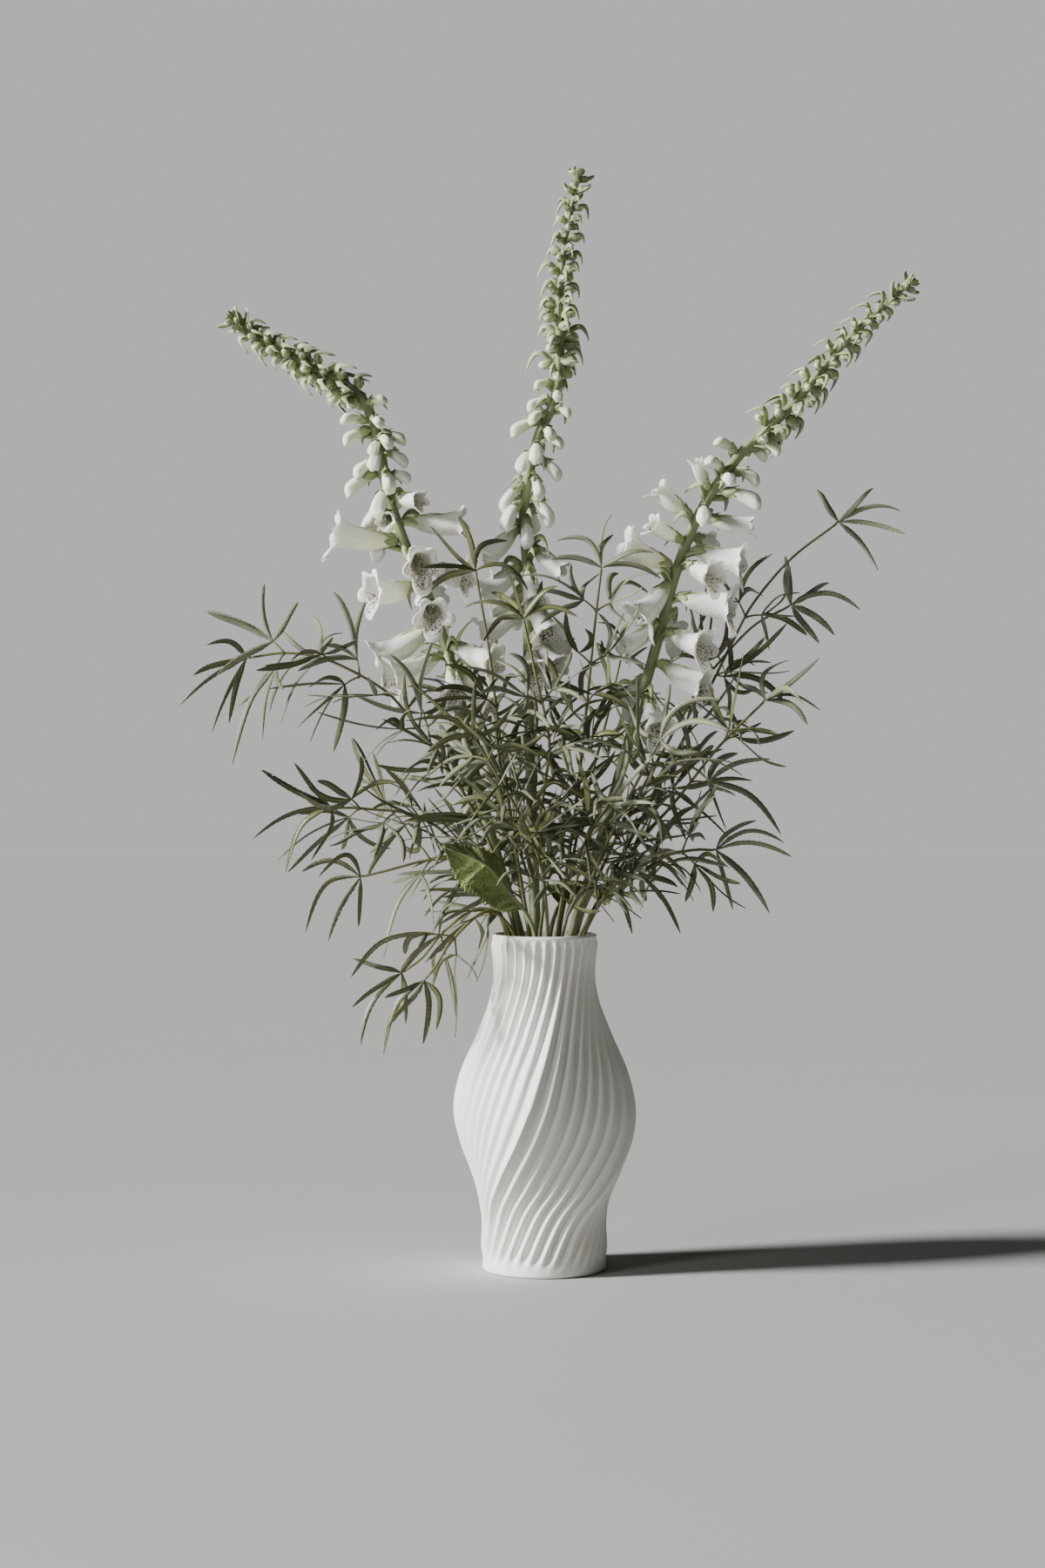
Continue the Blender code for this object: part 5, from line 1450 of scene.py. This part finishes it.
def make_vase(paint):
    """The porcelain vase: round foot, twisting crests and flutes, round lip and plain inside."""
    columns = FLUTES * FLUTE_POINTS
    shares = np.arange(columns) / columns
    foot, lip = CREST_RADIUS[0][1], CREST_RADIUS[-1][1]
    rings = [vase_ring(foot - FOOT_EDGE, 0.0, shares)]
    for turn in np.linspace(0, math.pi / 2, ROUND_STEPS)[1:]:
        rings.append(vase_ring(foot - FOOT_EDGE + FOOT_EDGE * math.sin(turn),
                               FOOT_EDGE - FOOT_EDGE * math.cos(turn), shares))
    for height in np.linspace(FLUTE_FOOT, FLUTE_RIM, OUTER_ROWS):
        rings.append(vase_ring(flute_radius(height, shares, 0, FLUTE_RELIEF), height, shares))
    middle = lip - WALL / 2
    for turn in np.linspace(0, math.pi, LIP_STEPS):
        rings.append(vase_ring(middle + WALL / 2 * math.cos(turn),
                               VASE_HEIGHT - LIP_HEIGHT + LIP_HEIGHT * math.sin(turn), shares))
    for height in np.linspace(INSIDE_TOP, FLOOR + FLOOR_ROUND * 2, INNER_ROWS):
        rings.append(vase_ring(flute_radius(height, shares, WALL, 0), height, shares))
    for turn in np.linspace(0, math.pi / 2, ROUND_STEPS)[1:]:
        rings.append(vase_ring(foot - WALL - FLOOR_ROUND + FLOOR_ROUND * math.cos(turn),
                               FLOOR + FLOOR_ROUND * 2 * (1 - math.sin(turn)), shares))
    vase = Growth()
    closed_grid(vase, np.array(rings), (0, 0, 0), (0, 0, FLOOR))
    made = vase.piece("vase_body", paint, "porcelain", "vase")
    made.data.set_sharp_from_angle(angle=math.radians(SHARP_FROM))


# Materials


class Nodes:
    """Adds nodes to a tree, each linked or set as it is made."""

    def __init__(self, tree):
        self.tree = tree
        self.count = 0

    def add(self, kind, inputs=None, **settings):
        """A node of a kind, with its inputs given as values or as other nodes' outputs."""
        node = self.tree.nodes.new("ShaderNode" + kind)
        node.location = (220 * (self.count % 8) - 1600, -260 * (self.count // 8))
        self.count += 1
        for title, value in settings.items():
            setattr(node, title, value)
        self.fill(node, inputs or {})
        return node

    def fill(self, node, inputs):
        """Sets or links the inputs of a node."""
        for title, value in inputs.items():
            if isinstance(value, bpy.types.NodeSocket):
                self.tree.links.new(value, node.inputs[title])
            else:
                node.inputs[title].default_value = value

    def math(self, operation, first, second=0.0, clamp=False):
        """The result of one sum."""
        node = self.add("Math", {0: first, 1: second}, operation=operation, use_clamp=clamp)
        return node.outputs[0]

    def times(self, first, second):
        """One value multiplied by another."""
        return self.math("MULTIPLY", first, second)

    def rest(self, value):
        """What a value leaves of 1."""
        return self.math("SUBTRACT", 1.0, value)

    def across_and_along(self):
        """A surface's place from side to side, and from end to end."""
        split = self.add("SeparateXYZ", {0: self.add("TexCoord").outputs["UV"]})
        return split.outputs["X"], split.outputs["Y"]

    def point(self, x, y, z=0.0):
        """A place made of three values."""
        return self.add("CombineXYZ", {0: x, 1: y, 2: z}).outputs[0]

    def stored(self, title):
        """A value that each solid of a piece carries."""
        return self.add("Attribute", attribute_name=title).outputs["Fac"]

    def noise(self, place, scale, detail, **more):
        """A soft random pattern."""
        inputs = {"Vector": place, "Scale": scale, "Detail": detail, **more}
        return self.add("TexNoise", inputs).outputs["Fac"]

    def ramp(self, value, low, high):
        """A value that rises smoothly from 0 to 1 between two others."""
        node = self.add("MapRange", {"Value": value, "From Min": low, "From Max": high},
                        interpolation_type="SMOOTHSTEP")
        return node.outputs["Result"]

    def between(self, factor, low, high):
        """A number between two others."""
        node = self.add("MapRange", {"Value": factor, "To Min": low, "To Max": high})
        return node.outputs["Result"]

    def mix(self, factor, first, second, blend="MIX"):
        """A colour between two others."""
        node = self.add("Mix", {0: factor, 6: first, 7: second}, data_type="RGBA", blend_type=blend)
        return node.outputs[2]

    def bump(self, height, depth, strength=1.0):
        """A normal from a height, its depth in metres."""
        node = self.add("Bump", {"Height": height, "Distance": depth, "Strength": strength})
        return node.outputs["Normal"]

    def group(self, tree, inputs):
        """A shared group placed in the tree."""
        node = self.add("Group", node_tree=tree)
        self.fill(node, inputs)
        return node


def shared_group(name, inputs, outputs, build):
    """A shader node group with named sockets, built once."""
    tree = bpy.data.node_groups.get(name)
    if tree is not None:
        return tree
    tree = bpy.data.node_groups.new(name, "ShaderNodeTree")
    for title, kind, value in inputs:
        made = tree.interface.new_socket(title, in_out="INPUT", socket_type="NodeSocket" + kind)
        made.default_value = value
    for title, kind in outputs:
        tree.interface.new_socket(title, in_out="OUTPUT", socket_type="NodeSocket" + kind)
    entry = tree.nodes.new("NodeGroupInput")
    leave = tree.nodes.new("NodeGroupOutput")
    entry.location = (-1900, 0)
    leave.location = (600, 0)
    for title, value in build(Nodes(tree), entry.outputs).items():
        tree.links.new(value, leave.inputs[title])
    return tree


def speckle_group():
    """Broad mottling and fine grain over any surface."""
    def build(nodes, entry):
        place = nodes.add("TexCoord").outputs["Object"]
        broad = nodes.noise(place, entry["Broad scale"], 4.0, Roughness=0.6)
        fine = nodes.noise(place, entry["Fine scale"], 3.0, Roughness=0.65)
        return {"Mottling": nodes.ramp(broad, 0.32, 0.68), "Grain": fine}
    inputs = (("Broad scale", "Float", 30.0), ("Fine scale", "Float", 900.0))
    return shared_group("Mottling and grain", inputs, (("Mottling", "Float"), ("Grain", "Float")), build)


def speckled(nodes, broad, fine):
    """The shared mottling and grain at two scales, as two values."""
    outputs = nodes.group(speckle_group(), {"Broad scale": broad, "Fine scale": fine}).outputs
    return outputs["Mottling"], outputs["Grain"]


def leaf_group():
    """A leaf's skin: a top and an underside, a midrib, side veins and a tone of its own."""
    def build(nodes, entry):
        x, y = nodes.across_and_along()
        across = nodes.math("ABSOLUTE", nodes.math("SUBTRACT", x, 0.5))
        top = nodes.math("GREATER_THAN", y, 0.5)
        along = nodes.math("SUBTRACT", nodes.times(y, 2.0), top)
        midrib = nodes.rest(nodes.ramp(across, 0.02, 0.075))
        slant = nodes.math("SUBTRACT", along, nodes.times(across, entry["Slant"]))
        wave = nodes.math("SINE", nodes.times(slant, entry["Veins"]))
        veins = nodes.ramp(wave, 0.72, 1.0)
        tone = nodes.stored("tone")
        mottling, grain = speckled(nodes, 45.0, 1400.0)
        body = nodes.mix(mottling, entry["Colour"], entry["Second colour"])
        body = nodes.mix(top, entry["Underside"], body)
        cell = nodes.add("TexVoronoi", {"Vector": nodes.add("TexCoord").outputs["Object"],
                                        "Scale": 420.0}, feature="DISTANCE_TO_EDGE")
        net = nodes.times(entry["Net"], nodes.rest(nodes.ramp(cell.outputs["Distance"], 0.03, 0.16)))
        body = nodes.mix(net, body, entry["Net colour"])
        body = nodes.mix(nodes.times(veins, 0.3), body, entry["Vein colour"])
        body = nodes.mix(nodes.times(midrib, 0.6), body, entry["Vein colour"])
        lift = nodes.math("ADD", 1.0, nodes.times(tone, entry["Tone range"]))
        shade = nodes.add("CombineColor", {0: lift, 1: lift, 2: lift}).outputs[0]
        body = nodes.mix(1.0, body, shade, "MULTIPLY")
        sunk = nodes.math("MAXIMUM", nodes.math("MAXIMUM", veins, midrib), net)
        height = nodes.math("ADD", nodes.times(grain, 0.35), nodes.times(sunk, -0.6))
        return {"Colour": body, "Height": height, "Top": top, "Mottling": mottling}
    inputs = (("Colour", "Color", (0.06, 0.1, 0.02, 1)),
              ("Second colour", "Color", (0.09, 0.13, 0.03, 1)),
              ("Underside", "Color", (0.17, 0.2, 0.09, 1)),
              ("Vein colour", "Color", (0.2, 0.25, 0.1, 1)),
              ("Net colour", "Color", (0.03, 0.05, 0.01, 1)),
              ("Net", "Float", 0.0),
              ("Veins", "Float", 90.0),
              ("Slant", "Float", 0.6),
              ("Tone range", "Float", 0.22))
    outputs = (("Colour", "Color"), ("Height", "Float"), ("Top", "Float"), ("Mottling", "Float"))
    return shared_group("Leaf skin", inputs, outputs, build)


def material(name, constants):
    """A new material that is no metal, its shader's own values set, and a tool to add its nodes."""
    made = bpy.data.materials.get(name) or bpy.data.materials.new(name)
    made.use_nodes = True
    made.node_tree.nodes.clear()
    nodes = Nodes(made.node_tree)
    shader = nodes.add("BsdfPrincipled", {"Metallic": 0.0, **constants})
    shader.location = (300, 0)
    result = nodes.add("OutputMaterial", {"Surface": shader.outputs[0]})
    result.location = (600, 0)
    return made, nodes, shader


def colour(value):
    """A colour with its alpha."""
    return (*value[:3], 1.0)


def tinted(tone, *factors):
    """A colour with its channels multiplied by one factor, or each by its own."""
    return tuple(c * f for c, f in zip(tone, factors * 3))


def porcelain_material(settings):
    """Unglazed white porcelain: a fine matte grain, a faint warm mottling, and painted shade in the pits
    of the grain.
    """
    made, nodes, shader = material("Bisque porcelain", {"IOR": 1.5, "Specular IOR Level": 0.42})
    mottling, grain = speckled(nodes, 14.0, 1500.0)
    warm = tinted(settings.porcelain, 0.965, 0.955, 0.93)
    body = nodes.mix(mottling, colour(settings.porcelain), colour(warm))
    # Painted shade: the colour darkens towards grey-brown where the fine grain sinks into pits.
    painted_pit_shade = nodes.math("SUBTRACT", 0.08, nodes.times(nodes.ramp(grain, 0.3, 0.45), 0.08))
    body = nodes.mix(painted_pit_shade, body, (0.45, 0.43, 0.38, 1))
    rough = nodes.between(mottling, settings.roughness - 0.06, settings.roughness + 0.06)
    nodes.fill(shader, {"Base Color": body, "Roughness": rough, "Normal": nodes.bump(grain, 0.00006)})
    return made


def water_material():
    """Clear still water."""
    made, nodes, shader = material("Water", {"IOR": 1.333, "Transmission Weight": 1.0})
    mottling, grain = speckled(nodes, 10.0, 60.0)
    nodes.fill(shader, {"Base Color": nodes.mix(mottling, (0.9, 0.96, 0.94, 1), (0.86, 0.94, 0.9, 1)),
                        "Roughness": nodes.between(mottling, 0.02, 0.05),
                        "Normal": nodes.bump(grain, 0.0004)})
    return made


def petal_material(settings):
    """White petal, green at its foot, with maroon spots on the lower side within."""
    made, nodes, shader = material("Foxglove petal", {
        "IOR": 1.45, "Sheen Weight": 0.12, "Sheen Roughness": 0.5,
        "Specular IOR Level": 0.35, "Subsurface Weight": 0.5, "Subsurface Scale": 0.004,
        "Subsurface Radius": (1.0, 0.95, 0.7)})
    x, y = nodes.across_and_along()
    tone = nodes.stored("tone")
    seed = nodes.stored("seed")
    inside = nodes.math("GREATER_THAN", y, 0.5)
    along = nodes.math("SUBTRACT", nodes.times(y, 2.0), inside)
    off = nodes.math("ABSOLUTE", nodes.math("SUBTRACT", x, 0.5))
    low = nodes.rest(nodes.ramp(off, 0.17, 0.29))
    reach = nodes.times(nodes.ramp(along, 0.08, 0.2), nodes.rest(nodes.ramp(along, 0.84, 0.94)))
    spot_place = nodes.point(nodes.times(x, 32.0), nodes.times(along, 22.0), nodes.times(seed, 30.0))
    cell = nodes.add("TexVoronoi", {"Vector": spot_place, "Scale": 1.0, "Randomness": 0.8})
    spot = nodes.rest(nodes.ramp(cell.outputs["Distance"], 0.36, 0.46))
    shown = nodes.times(nodes.times(spot, low), reach)
    shown = nodes.times(shown, nodes.between(inside, 0.2, 0.95))
    shown = nodes.times(shown, nodes.math("LESS_THAN", tone, 0.3))
    veins = nodes.noise(nodes.point(nodes.times(x, 70.0), nodes.times(along, 3.0), seed), 1.0, 2.0)
    mottling, grain = speckled(nodes, 90.0, 1800.0)
    body = nodes.mix(nodes.times(nodes.ramp(veins, 0.42, 0.7), 0.5), colour(settings.petal),
                     colour(tinted(settings.petal, 0.93, 0.95, 0.86)))
    foot = nodes.times(nodes.rest(nodes.ramp(along, 0.05, 0.45)), nodes.between(inside, 0.5, 0.1))
    greening = nodes.math("ADD", foot, tone, clamp=True)
    body = nodes.mix(greening, body, colour(settings.young_petal))
    body = nodes.mix(shown, body, colour(settings.spot))
    height = nodes.math("ADD", nodes.times(veins, 0.7), nodes.times(grain, 0.3))
    nodes.fill(shader, {"Base Color": body,
                        "Roughness": nodes.between(mottling, 0.48, 0.62),
                        "Normal": nodes.bump(height, 0.00012, 0.7)})
    return made


def leafy_material(name, colours, veins, slant, net, tone_range, rough, depth, constants):
    """A leaf's material from the shared skin: its four colours, its veins and its gloss."""
    made, nodes, shader = material(name, {"IOR": 1.45, **constants})
    skin = nodes.group(leaf_group(), {
        "Colour": colour(colours[0]), "Second colour": colour(colours[1]),
        "Underside": colour(colours[2]), "Vein colour": colour(colours[3]),
        "Net colour": colour(tinted(colours[0], 0.4)), "Net": net,
        "Veins": veins, "Slant": slant, "Tone range": tone_range})
    gloss = nodes.between(skin.outputs["Top"], rough[1], rough[0])
    patchy = nodes.between(skin.outputs["Mottling"], -0.05, 0.05)
    nodes.fill(shader, {"Base Color": skin.outputs["Colour"],
                        "Roughness": nodes.math("ADD", gloss, patchy),
                        "Normal": nodes.bump(skin.outputs["Height"], depth)})
    return made


def stem_material(name, first, second, streak, rough, constants):
    """A stem's skin: streaks that run along it, and a fine grain."""
    made, nodes, shader = material(name, {"IOR": 1.45, **constants})
    x, y = nodes.across_and_along()
    streaks = nodes.noise(nodes.point(nodes.times(x, 9.0), nodes.times(y, streak)), 1.5, 4.0)
    mottling, grain = speckled(nodes, 25.0, 1600.0)
    blend = nodes.times(nodes.ramp(streaks, 0.3, 0.7), nodes.between(mottling, 0.5, 1.0))
    height = nodes.math("ADD", nodes.times(streaks, 0.6), nodes.times(grain, 0.4))
    nodes.fill(shader, {"Base Color": nodes.mix(blend, colour(first), colour(second)),
                        "Roughness": nodes.between(streaks, rough - 0.08, rough + 0.08),
                        "Normal": nodes.bump(height, 0.0003)})
    return made


def floor_material(settings):
    """A plain pale floor."""
    made, nodes, shader = material("Pale floor", {"Specular IOR Level": 0.2})
    mottling, grain = speckled(nodes, 1.5, 200.0)
    body = nodes.mix(mottling, colour(settings.floor), colour(tinted(settings.floor, 0.985)))
    nodes.fill(shader, {"Base Color": body, "Roughness": nodes.between(grain, 0.7, 0.85)})
    return made


# Settings


def tint(name, description, default):
    """A setting that is a colour."""
    return bpy.props.FloatVectorProperty(name=name, description=description, subtype="COLOR",
                                         size=3, min=0, max=1, default=default)


class VaseSettings(bpy.types.PropertyGroup):
    """Finish of the vase."""

    porcelain: tint("Porcelain", "Colour of the unglazed porcelain", (0.86, 0.855, 0.815))
    roughness: bpy.props.FloatProperty(
        name="Roughness", description="How matte the porcelain is", subtype="FACTOR",
        min=0.1, max=0.95, default=0.52)


class FlowerSettings(bpy.types.PropertyGroup):
    """Colours of the foxgloves."""

    petal: tint("Petal", "Colour of an open bell", (0.88, 0.885, 0.82))
    young_petal: tint("Young petal", "Colour at a bell's foot and in the youngest buds",
                      (0.47, 0.53, 0.24))
    spot: tint("Spots", "Colour of the spots inside a bell", (0.075, 0.01, 0.024))
    green: tint("Green", "Colour of sepals and bracts", (0.26, 0.31, 0.14))
    stem: tint("Stem", "Colour of the stems", (0.185, 0.22, 0.105))


class FoliageSettings(bpy.types.PropertyGroup):
    """Colours of the sprigs and the broad leaves."""

    leaf: tint("Leaf", "Colour of a leaflet's upper side", (0.086, 0.1, 0.04))
    underside: tint("Underside", "Colour of a leaflet's underside", (0.22, 0.235, 0.15))
    wood: tint("Stem", "Colour of the sprigs' thin stems", (0.11, 0.1, 0.035))
    broad: tint("Broad leaf", "Colour of the broad leaves", (0.2, 0.3, 0.05))


class StageSettings(bpy.types.PropertyGroup):
    """The floor, the lights and the camera."""

    floor: tint("Floor", "Colour of the floor", (0.52, 0.51, 0.49))
    key: bpy.props.FloatProperty(
        name="Key light", description="Strength of the soft light from the left", min=0, default=9.5)
    fill: bpy.props.FloatProperty(
        name="Fill light", description="Power of the weak light in front", subtype="POWER",
        unit="POWER", min=0, default=18.0)
    lens: bpy.props.FloatProperty(
        name="Lens", description="Focal length of the camera", unit="CAMERA", min=20, default=70.0)


class FoxgloveSettings(bpy.types.PropertyGroup):
    """All settings of the vase of foxglove."""

    vase: bpy.props.PointerProperty(type=VaseSettings)
    flowers: bpy.props.PointerProperty(type=FlowerSettings)
    foliage: bpy.props.PointerProperty(type=FoliageSettings)
    stage: bpy.props.PointerProperty(type=StageSettings)


# Paints of each plant


def foxglove_paints(settings):
    """Materials of stems, petals and greens."""
    green, stem = settings.green, settings.stem
    greens = (green, tinted(green, 1.35, 1.3, 1.4), tinted(green, 1.5, 1.4, 1.6), tinted(green, 1.8))
    return {
        "stem": stem_material("Foxglove stem", stem, tinted(stem, 1.3), streak=2.0, rough=0.62,
                              constants={"Sheen Weight": 0.25, "Sheen Roughness": 0.4}),
        "petal": petal_material(settings),
        "green": leafy_material("Foxglove green", greens, veins=30.0, slant=0.8, net=0.0,
                                tone_range=0.18, rough=(0.5, 0.6), depth=0.0002,
                                constants={"Sheen Weight": 0.2, "Sheen Roughness": 0.45}),
    }


def broad_paints(settings, flower_settings):
    """Materials of the broad leaves: a foxglove's, and a blade's."""
    broad = settings.broad
    skin = (broad, tinted(broad, 1.25, 1.2, 1.3), tinted(broad, 1.9, 1.5, 3.0), tinted(broad, 1.9))
    paints = foxglove_paints(flower_settings)
    paints["broad"] = leafy_material("Broad leaf", skin, veins=math.tau * BROAD_VEINS, slant=2.2,
                                     net=0.8, tone_range=0.0, rough=(0.46, 0.58), depth=0.0009,
                                     constants={"Sheen Weight": 0.15})
    return paints


def sprig_paints(settings):
    """Materials of leaflets and of woody stems."""
    leaf, wood = settings.leaf, settings.wood
    skin = (leaf, tinted(leaf, 1.5, 1.35, 1.3), settings.underside, tinted(leaf, 2.6, 2.4, 2.6))
    return {
        "leaf": leafy_material("Sprig leaf", skin, veins=110.0, slant=0.7, net=0.12,
                               tone_range=0.32, rough=(0.24, 0.42), depth=0.00025, constants={}),
        "wood": stem_material("Sprig stem", wood, tinted(wood, 1.2, 1.5, 1.3), streak=6.0, rough=0.5,
                              constants={}),
    }


# Stage


def placed(scene, name, data, place):
    """An object of a kind put at a place in the scene."""
    made = bpy.data.objects.new(name, data)
    made.location = place
    scene.collection.objects.link(made)
    return made


def make_floor(scene, settings):
    """A square floor a hair below the vase's foot."""
    mesh = bpy.data.meshes.new("floor")
    corners = [(x * FLOOR_REACH, y * FLOOR_REACH, FLOOR_LEVEL)
               for x, y in ((-1, -1), (1, -1), (1, 1), (-1, 1))]
    mesh.from_pydata(corners, [], [(0, 1, 2, 3)])
    mesh.materials.append(floor_material(settings))
    floor = placed(scene, "floor", mesh, (0, 0, 0))


def add_light(scene, name, kind, power, place):
    """A light that shines on the middle of the bunch."""
    light = bpy.data.lights.new(name, kind)
    light.energy = power
    if kind == "SUN":
        light.angle = math.radians(KEY_ANGLE)
    else:
        light.size = FILL_SIZE
    holder = placed(scene, name + " light", light, place)
    way = Vector(LIGHT_AIM) - Vector(place)
    holder.rotation_euler = way.to_track_quat("-Z", "Y").to_euler()


def add_camera(scene, settings):
    """The camera in front, dipped a little."""
    camera = bpy.data.cameras.new("camera")
    camera.lens = settings.lens
    camera.sensor_width = CAMERA_SENSOR
    viewer = placed(scene, "camera", camera, CAMERA_PLACE)
    viewer.rotation_euler = (math.radians(90 - CAMERA_DIP), 0, 0)
    scene.camera = viewer


def light_world(scene):
    """A pale surround, dimmer for the light that it gives than it looks."""
    world = bpy.data.worlds.new("studio")
    world.use_nodes = True
    world.node_tree.nodes.clear()
    nodes = Nodes(world.node_tree)
    seen = nodes.add("LightPath").outputs["Is Camera Ray"]
    strength = nodes.between(seen, *SURROUND_STRENGTHS)
    background = nodes.add("Background", {"Color": SURROUND, "Strength": strength})
    nodes.add("OutputWorld", {"Surface": background.outputs[0]})
    scene.world = world


# Operators and panel


class FOXGLOVE_OT_vase(bpy.types.Operator):
    """Make the fluted porcelain vase"""

    bl_idname = "foxglove.make_vase"
    bl_label = "Make vase"

    def execute(self, context):
        make_vase(porcelain_material(context.scene.foxglove.vase))
        return {"FINISHED"}


class FOXGLOVE_OT_water(bpy.types.Operator):
    """Give the water in the vase its look"""

    bl_idname = "foxglove.fill_water"
    bl_label = "Fill water"

    def execute(self, context):
        water = frame["nodes"]["water"]
        paint = water_material()
        for place in water.material_slots:
            place.material = paint
        return {"FINISHED"}


class FOXGLOVE_OT_foxgloves(bpy.types.Operator):
    """Grow the three foxgloves"""

    bl_idname = "foxglove.grow_foxgloves"
    bl_label = "Grow foxgloves"

    def execute(self, context):
        stems, sizes, flowers, _ = bunch()
        paints = foxglove_paints(context.scene.foxglove.flowers)
        for name in FOXGLOVES:
            full = "foxglove_" + name
            make_foxglove(name, stems[full], sizes[full], flowers[full], paints)
        return {"FINISHED"}


class FOXGLOVE_OT_broad_leaves(bpy.types.Operator):
    """Grow the two broad leaves at the rim"""

    bl_idname = "foxglove.grow_broad_leaves"
    bl_label = "Grow broad leaves"

    def execute(self, context):
        stems, sizes, _, _ = bunch()
        settings = context.scene.foxglove
        paints = broad_paints(settings.foliage, settings.flowers)
        for name in BROAD_LEAVES:
            full = "broad_leaf_" + name
            make_broad_leaf(name, stems[full], sizes[full], paints)
        return {"FINISHED"}


class FOXGLOVE_OT_sprigs(bpy.types.Operator):
    """Grow the narrow-leaved sprigs"""

    bl_idname = "foxglove.grow_sprigs"
    bl_label = "Grow sprigs"

    def execute(self, context):
        stems, sizes, _, leaves = bunch()
        paints = sprig_paints(context.scene.foxglove.foliage)
        for full, growth in leaves.items():
            make_sprig(full, stems[full], sizes[full], growth, paints)
        return {"FINISHED"}


class FOXGLOVE_OT_stage(bpy.types.Operator):
    """Set up the pale floor, the studio lights and the camera"""

    bl_idname = "foxglove.set_stage"
    bl_label = "Set stage"

    def execute(self, context):
        scene = context.scene
        settings = scene.foxglove.stage
        make_floor(scene, settings)
        add_light(scene, "key", "SUN", settings.key, KEY_PLACE)
        add_light(scene, "fill", "AREA", settings.fill, FILL_PLACE)
        add_camera(scene, settings)
        light_world(scene)
        return {"FINISHED"}


class FOXGLOVE_PT_panel(bpy.types.Panel):
    """Colours, finish, light strengths, lens and steps of the vase of foxglove"""

    bl_idname = "FOXGLOVE_PT_panel"
    bl_label = "Vase of foxglove"
    bl_space_type = "VIEW_3D"
    bl_region_type = "UI"
    bl_category = "Foxglove"

    def draw(self, context):
        settings = context.scene.foxglove
        for group in (settings.vase, settings.flowers, settings.foliage, settings.stage):
            box = self.layout.box()
            for title in group.__annotations__:
                box.prop(group, title)
        for operator in OPERATORS:
            self.layout.operator(operator.bl_idname)


OPERATORS = (FOXGLOVE_OT_vase, FOXGLOVE_OT_water, FOXGLOVE_OT_foxgloves, FOXGLOVE_OT_broad_leaves,
             FOXGLOVE_OT_sprigs, FOXGLOVE_OT_stage)
CLASSES = (VaseSettings, FlowerSettings, FoliageSettings, StageSettings, FoxgloveSettings,
           *OPERATORS, FOXGLOVE_PT_panel)


def register():
    """Registers the classes and the scene's settings."""
    for each in CLASSES:
        bpy.utils.register_class(each)
    bpy.types.Scene.foxglove = bpy.props.PointerProperty(type=FoxgloveSettings)


def unregister():
    """Takes the classes and the settings away again."""
    del bpy.types.Scene.foxglove
    for each in reversed(CLASSES):
        bpy.utils.unregister_class(each)


def main():
    """Makes every piece in order."""
    register()
    bpy.ops.foxglove.make_vase()
    bpy.ops.foxglove.fill_water()
    bpy.ops.foxglove.grow_foxgloves()
    bpy.ops.foxglove.grow_broad_leaves()
    bpy.ops.foxglove.grow_sprigs()
    bpy.ops.foxglove.set_stage()


if __name__ == "__main__":
    main()
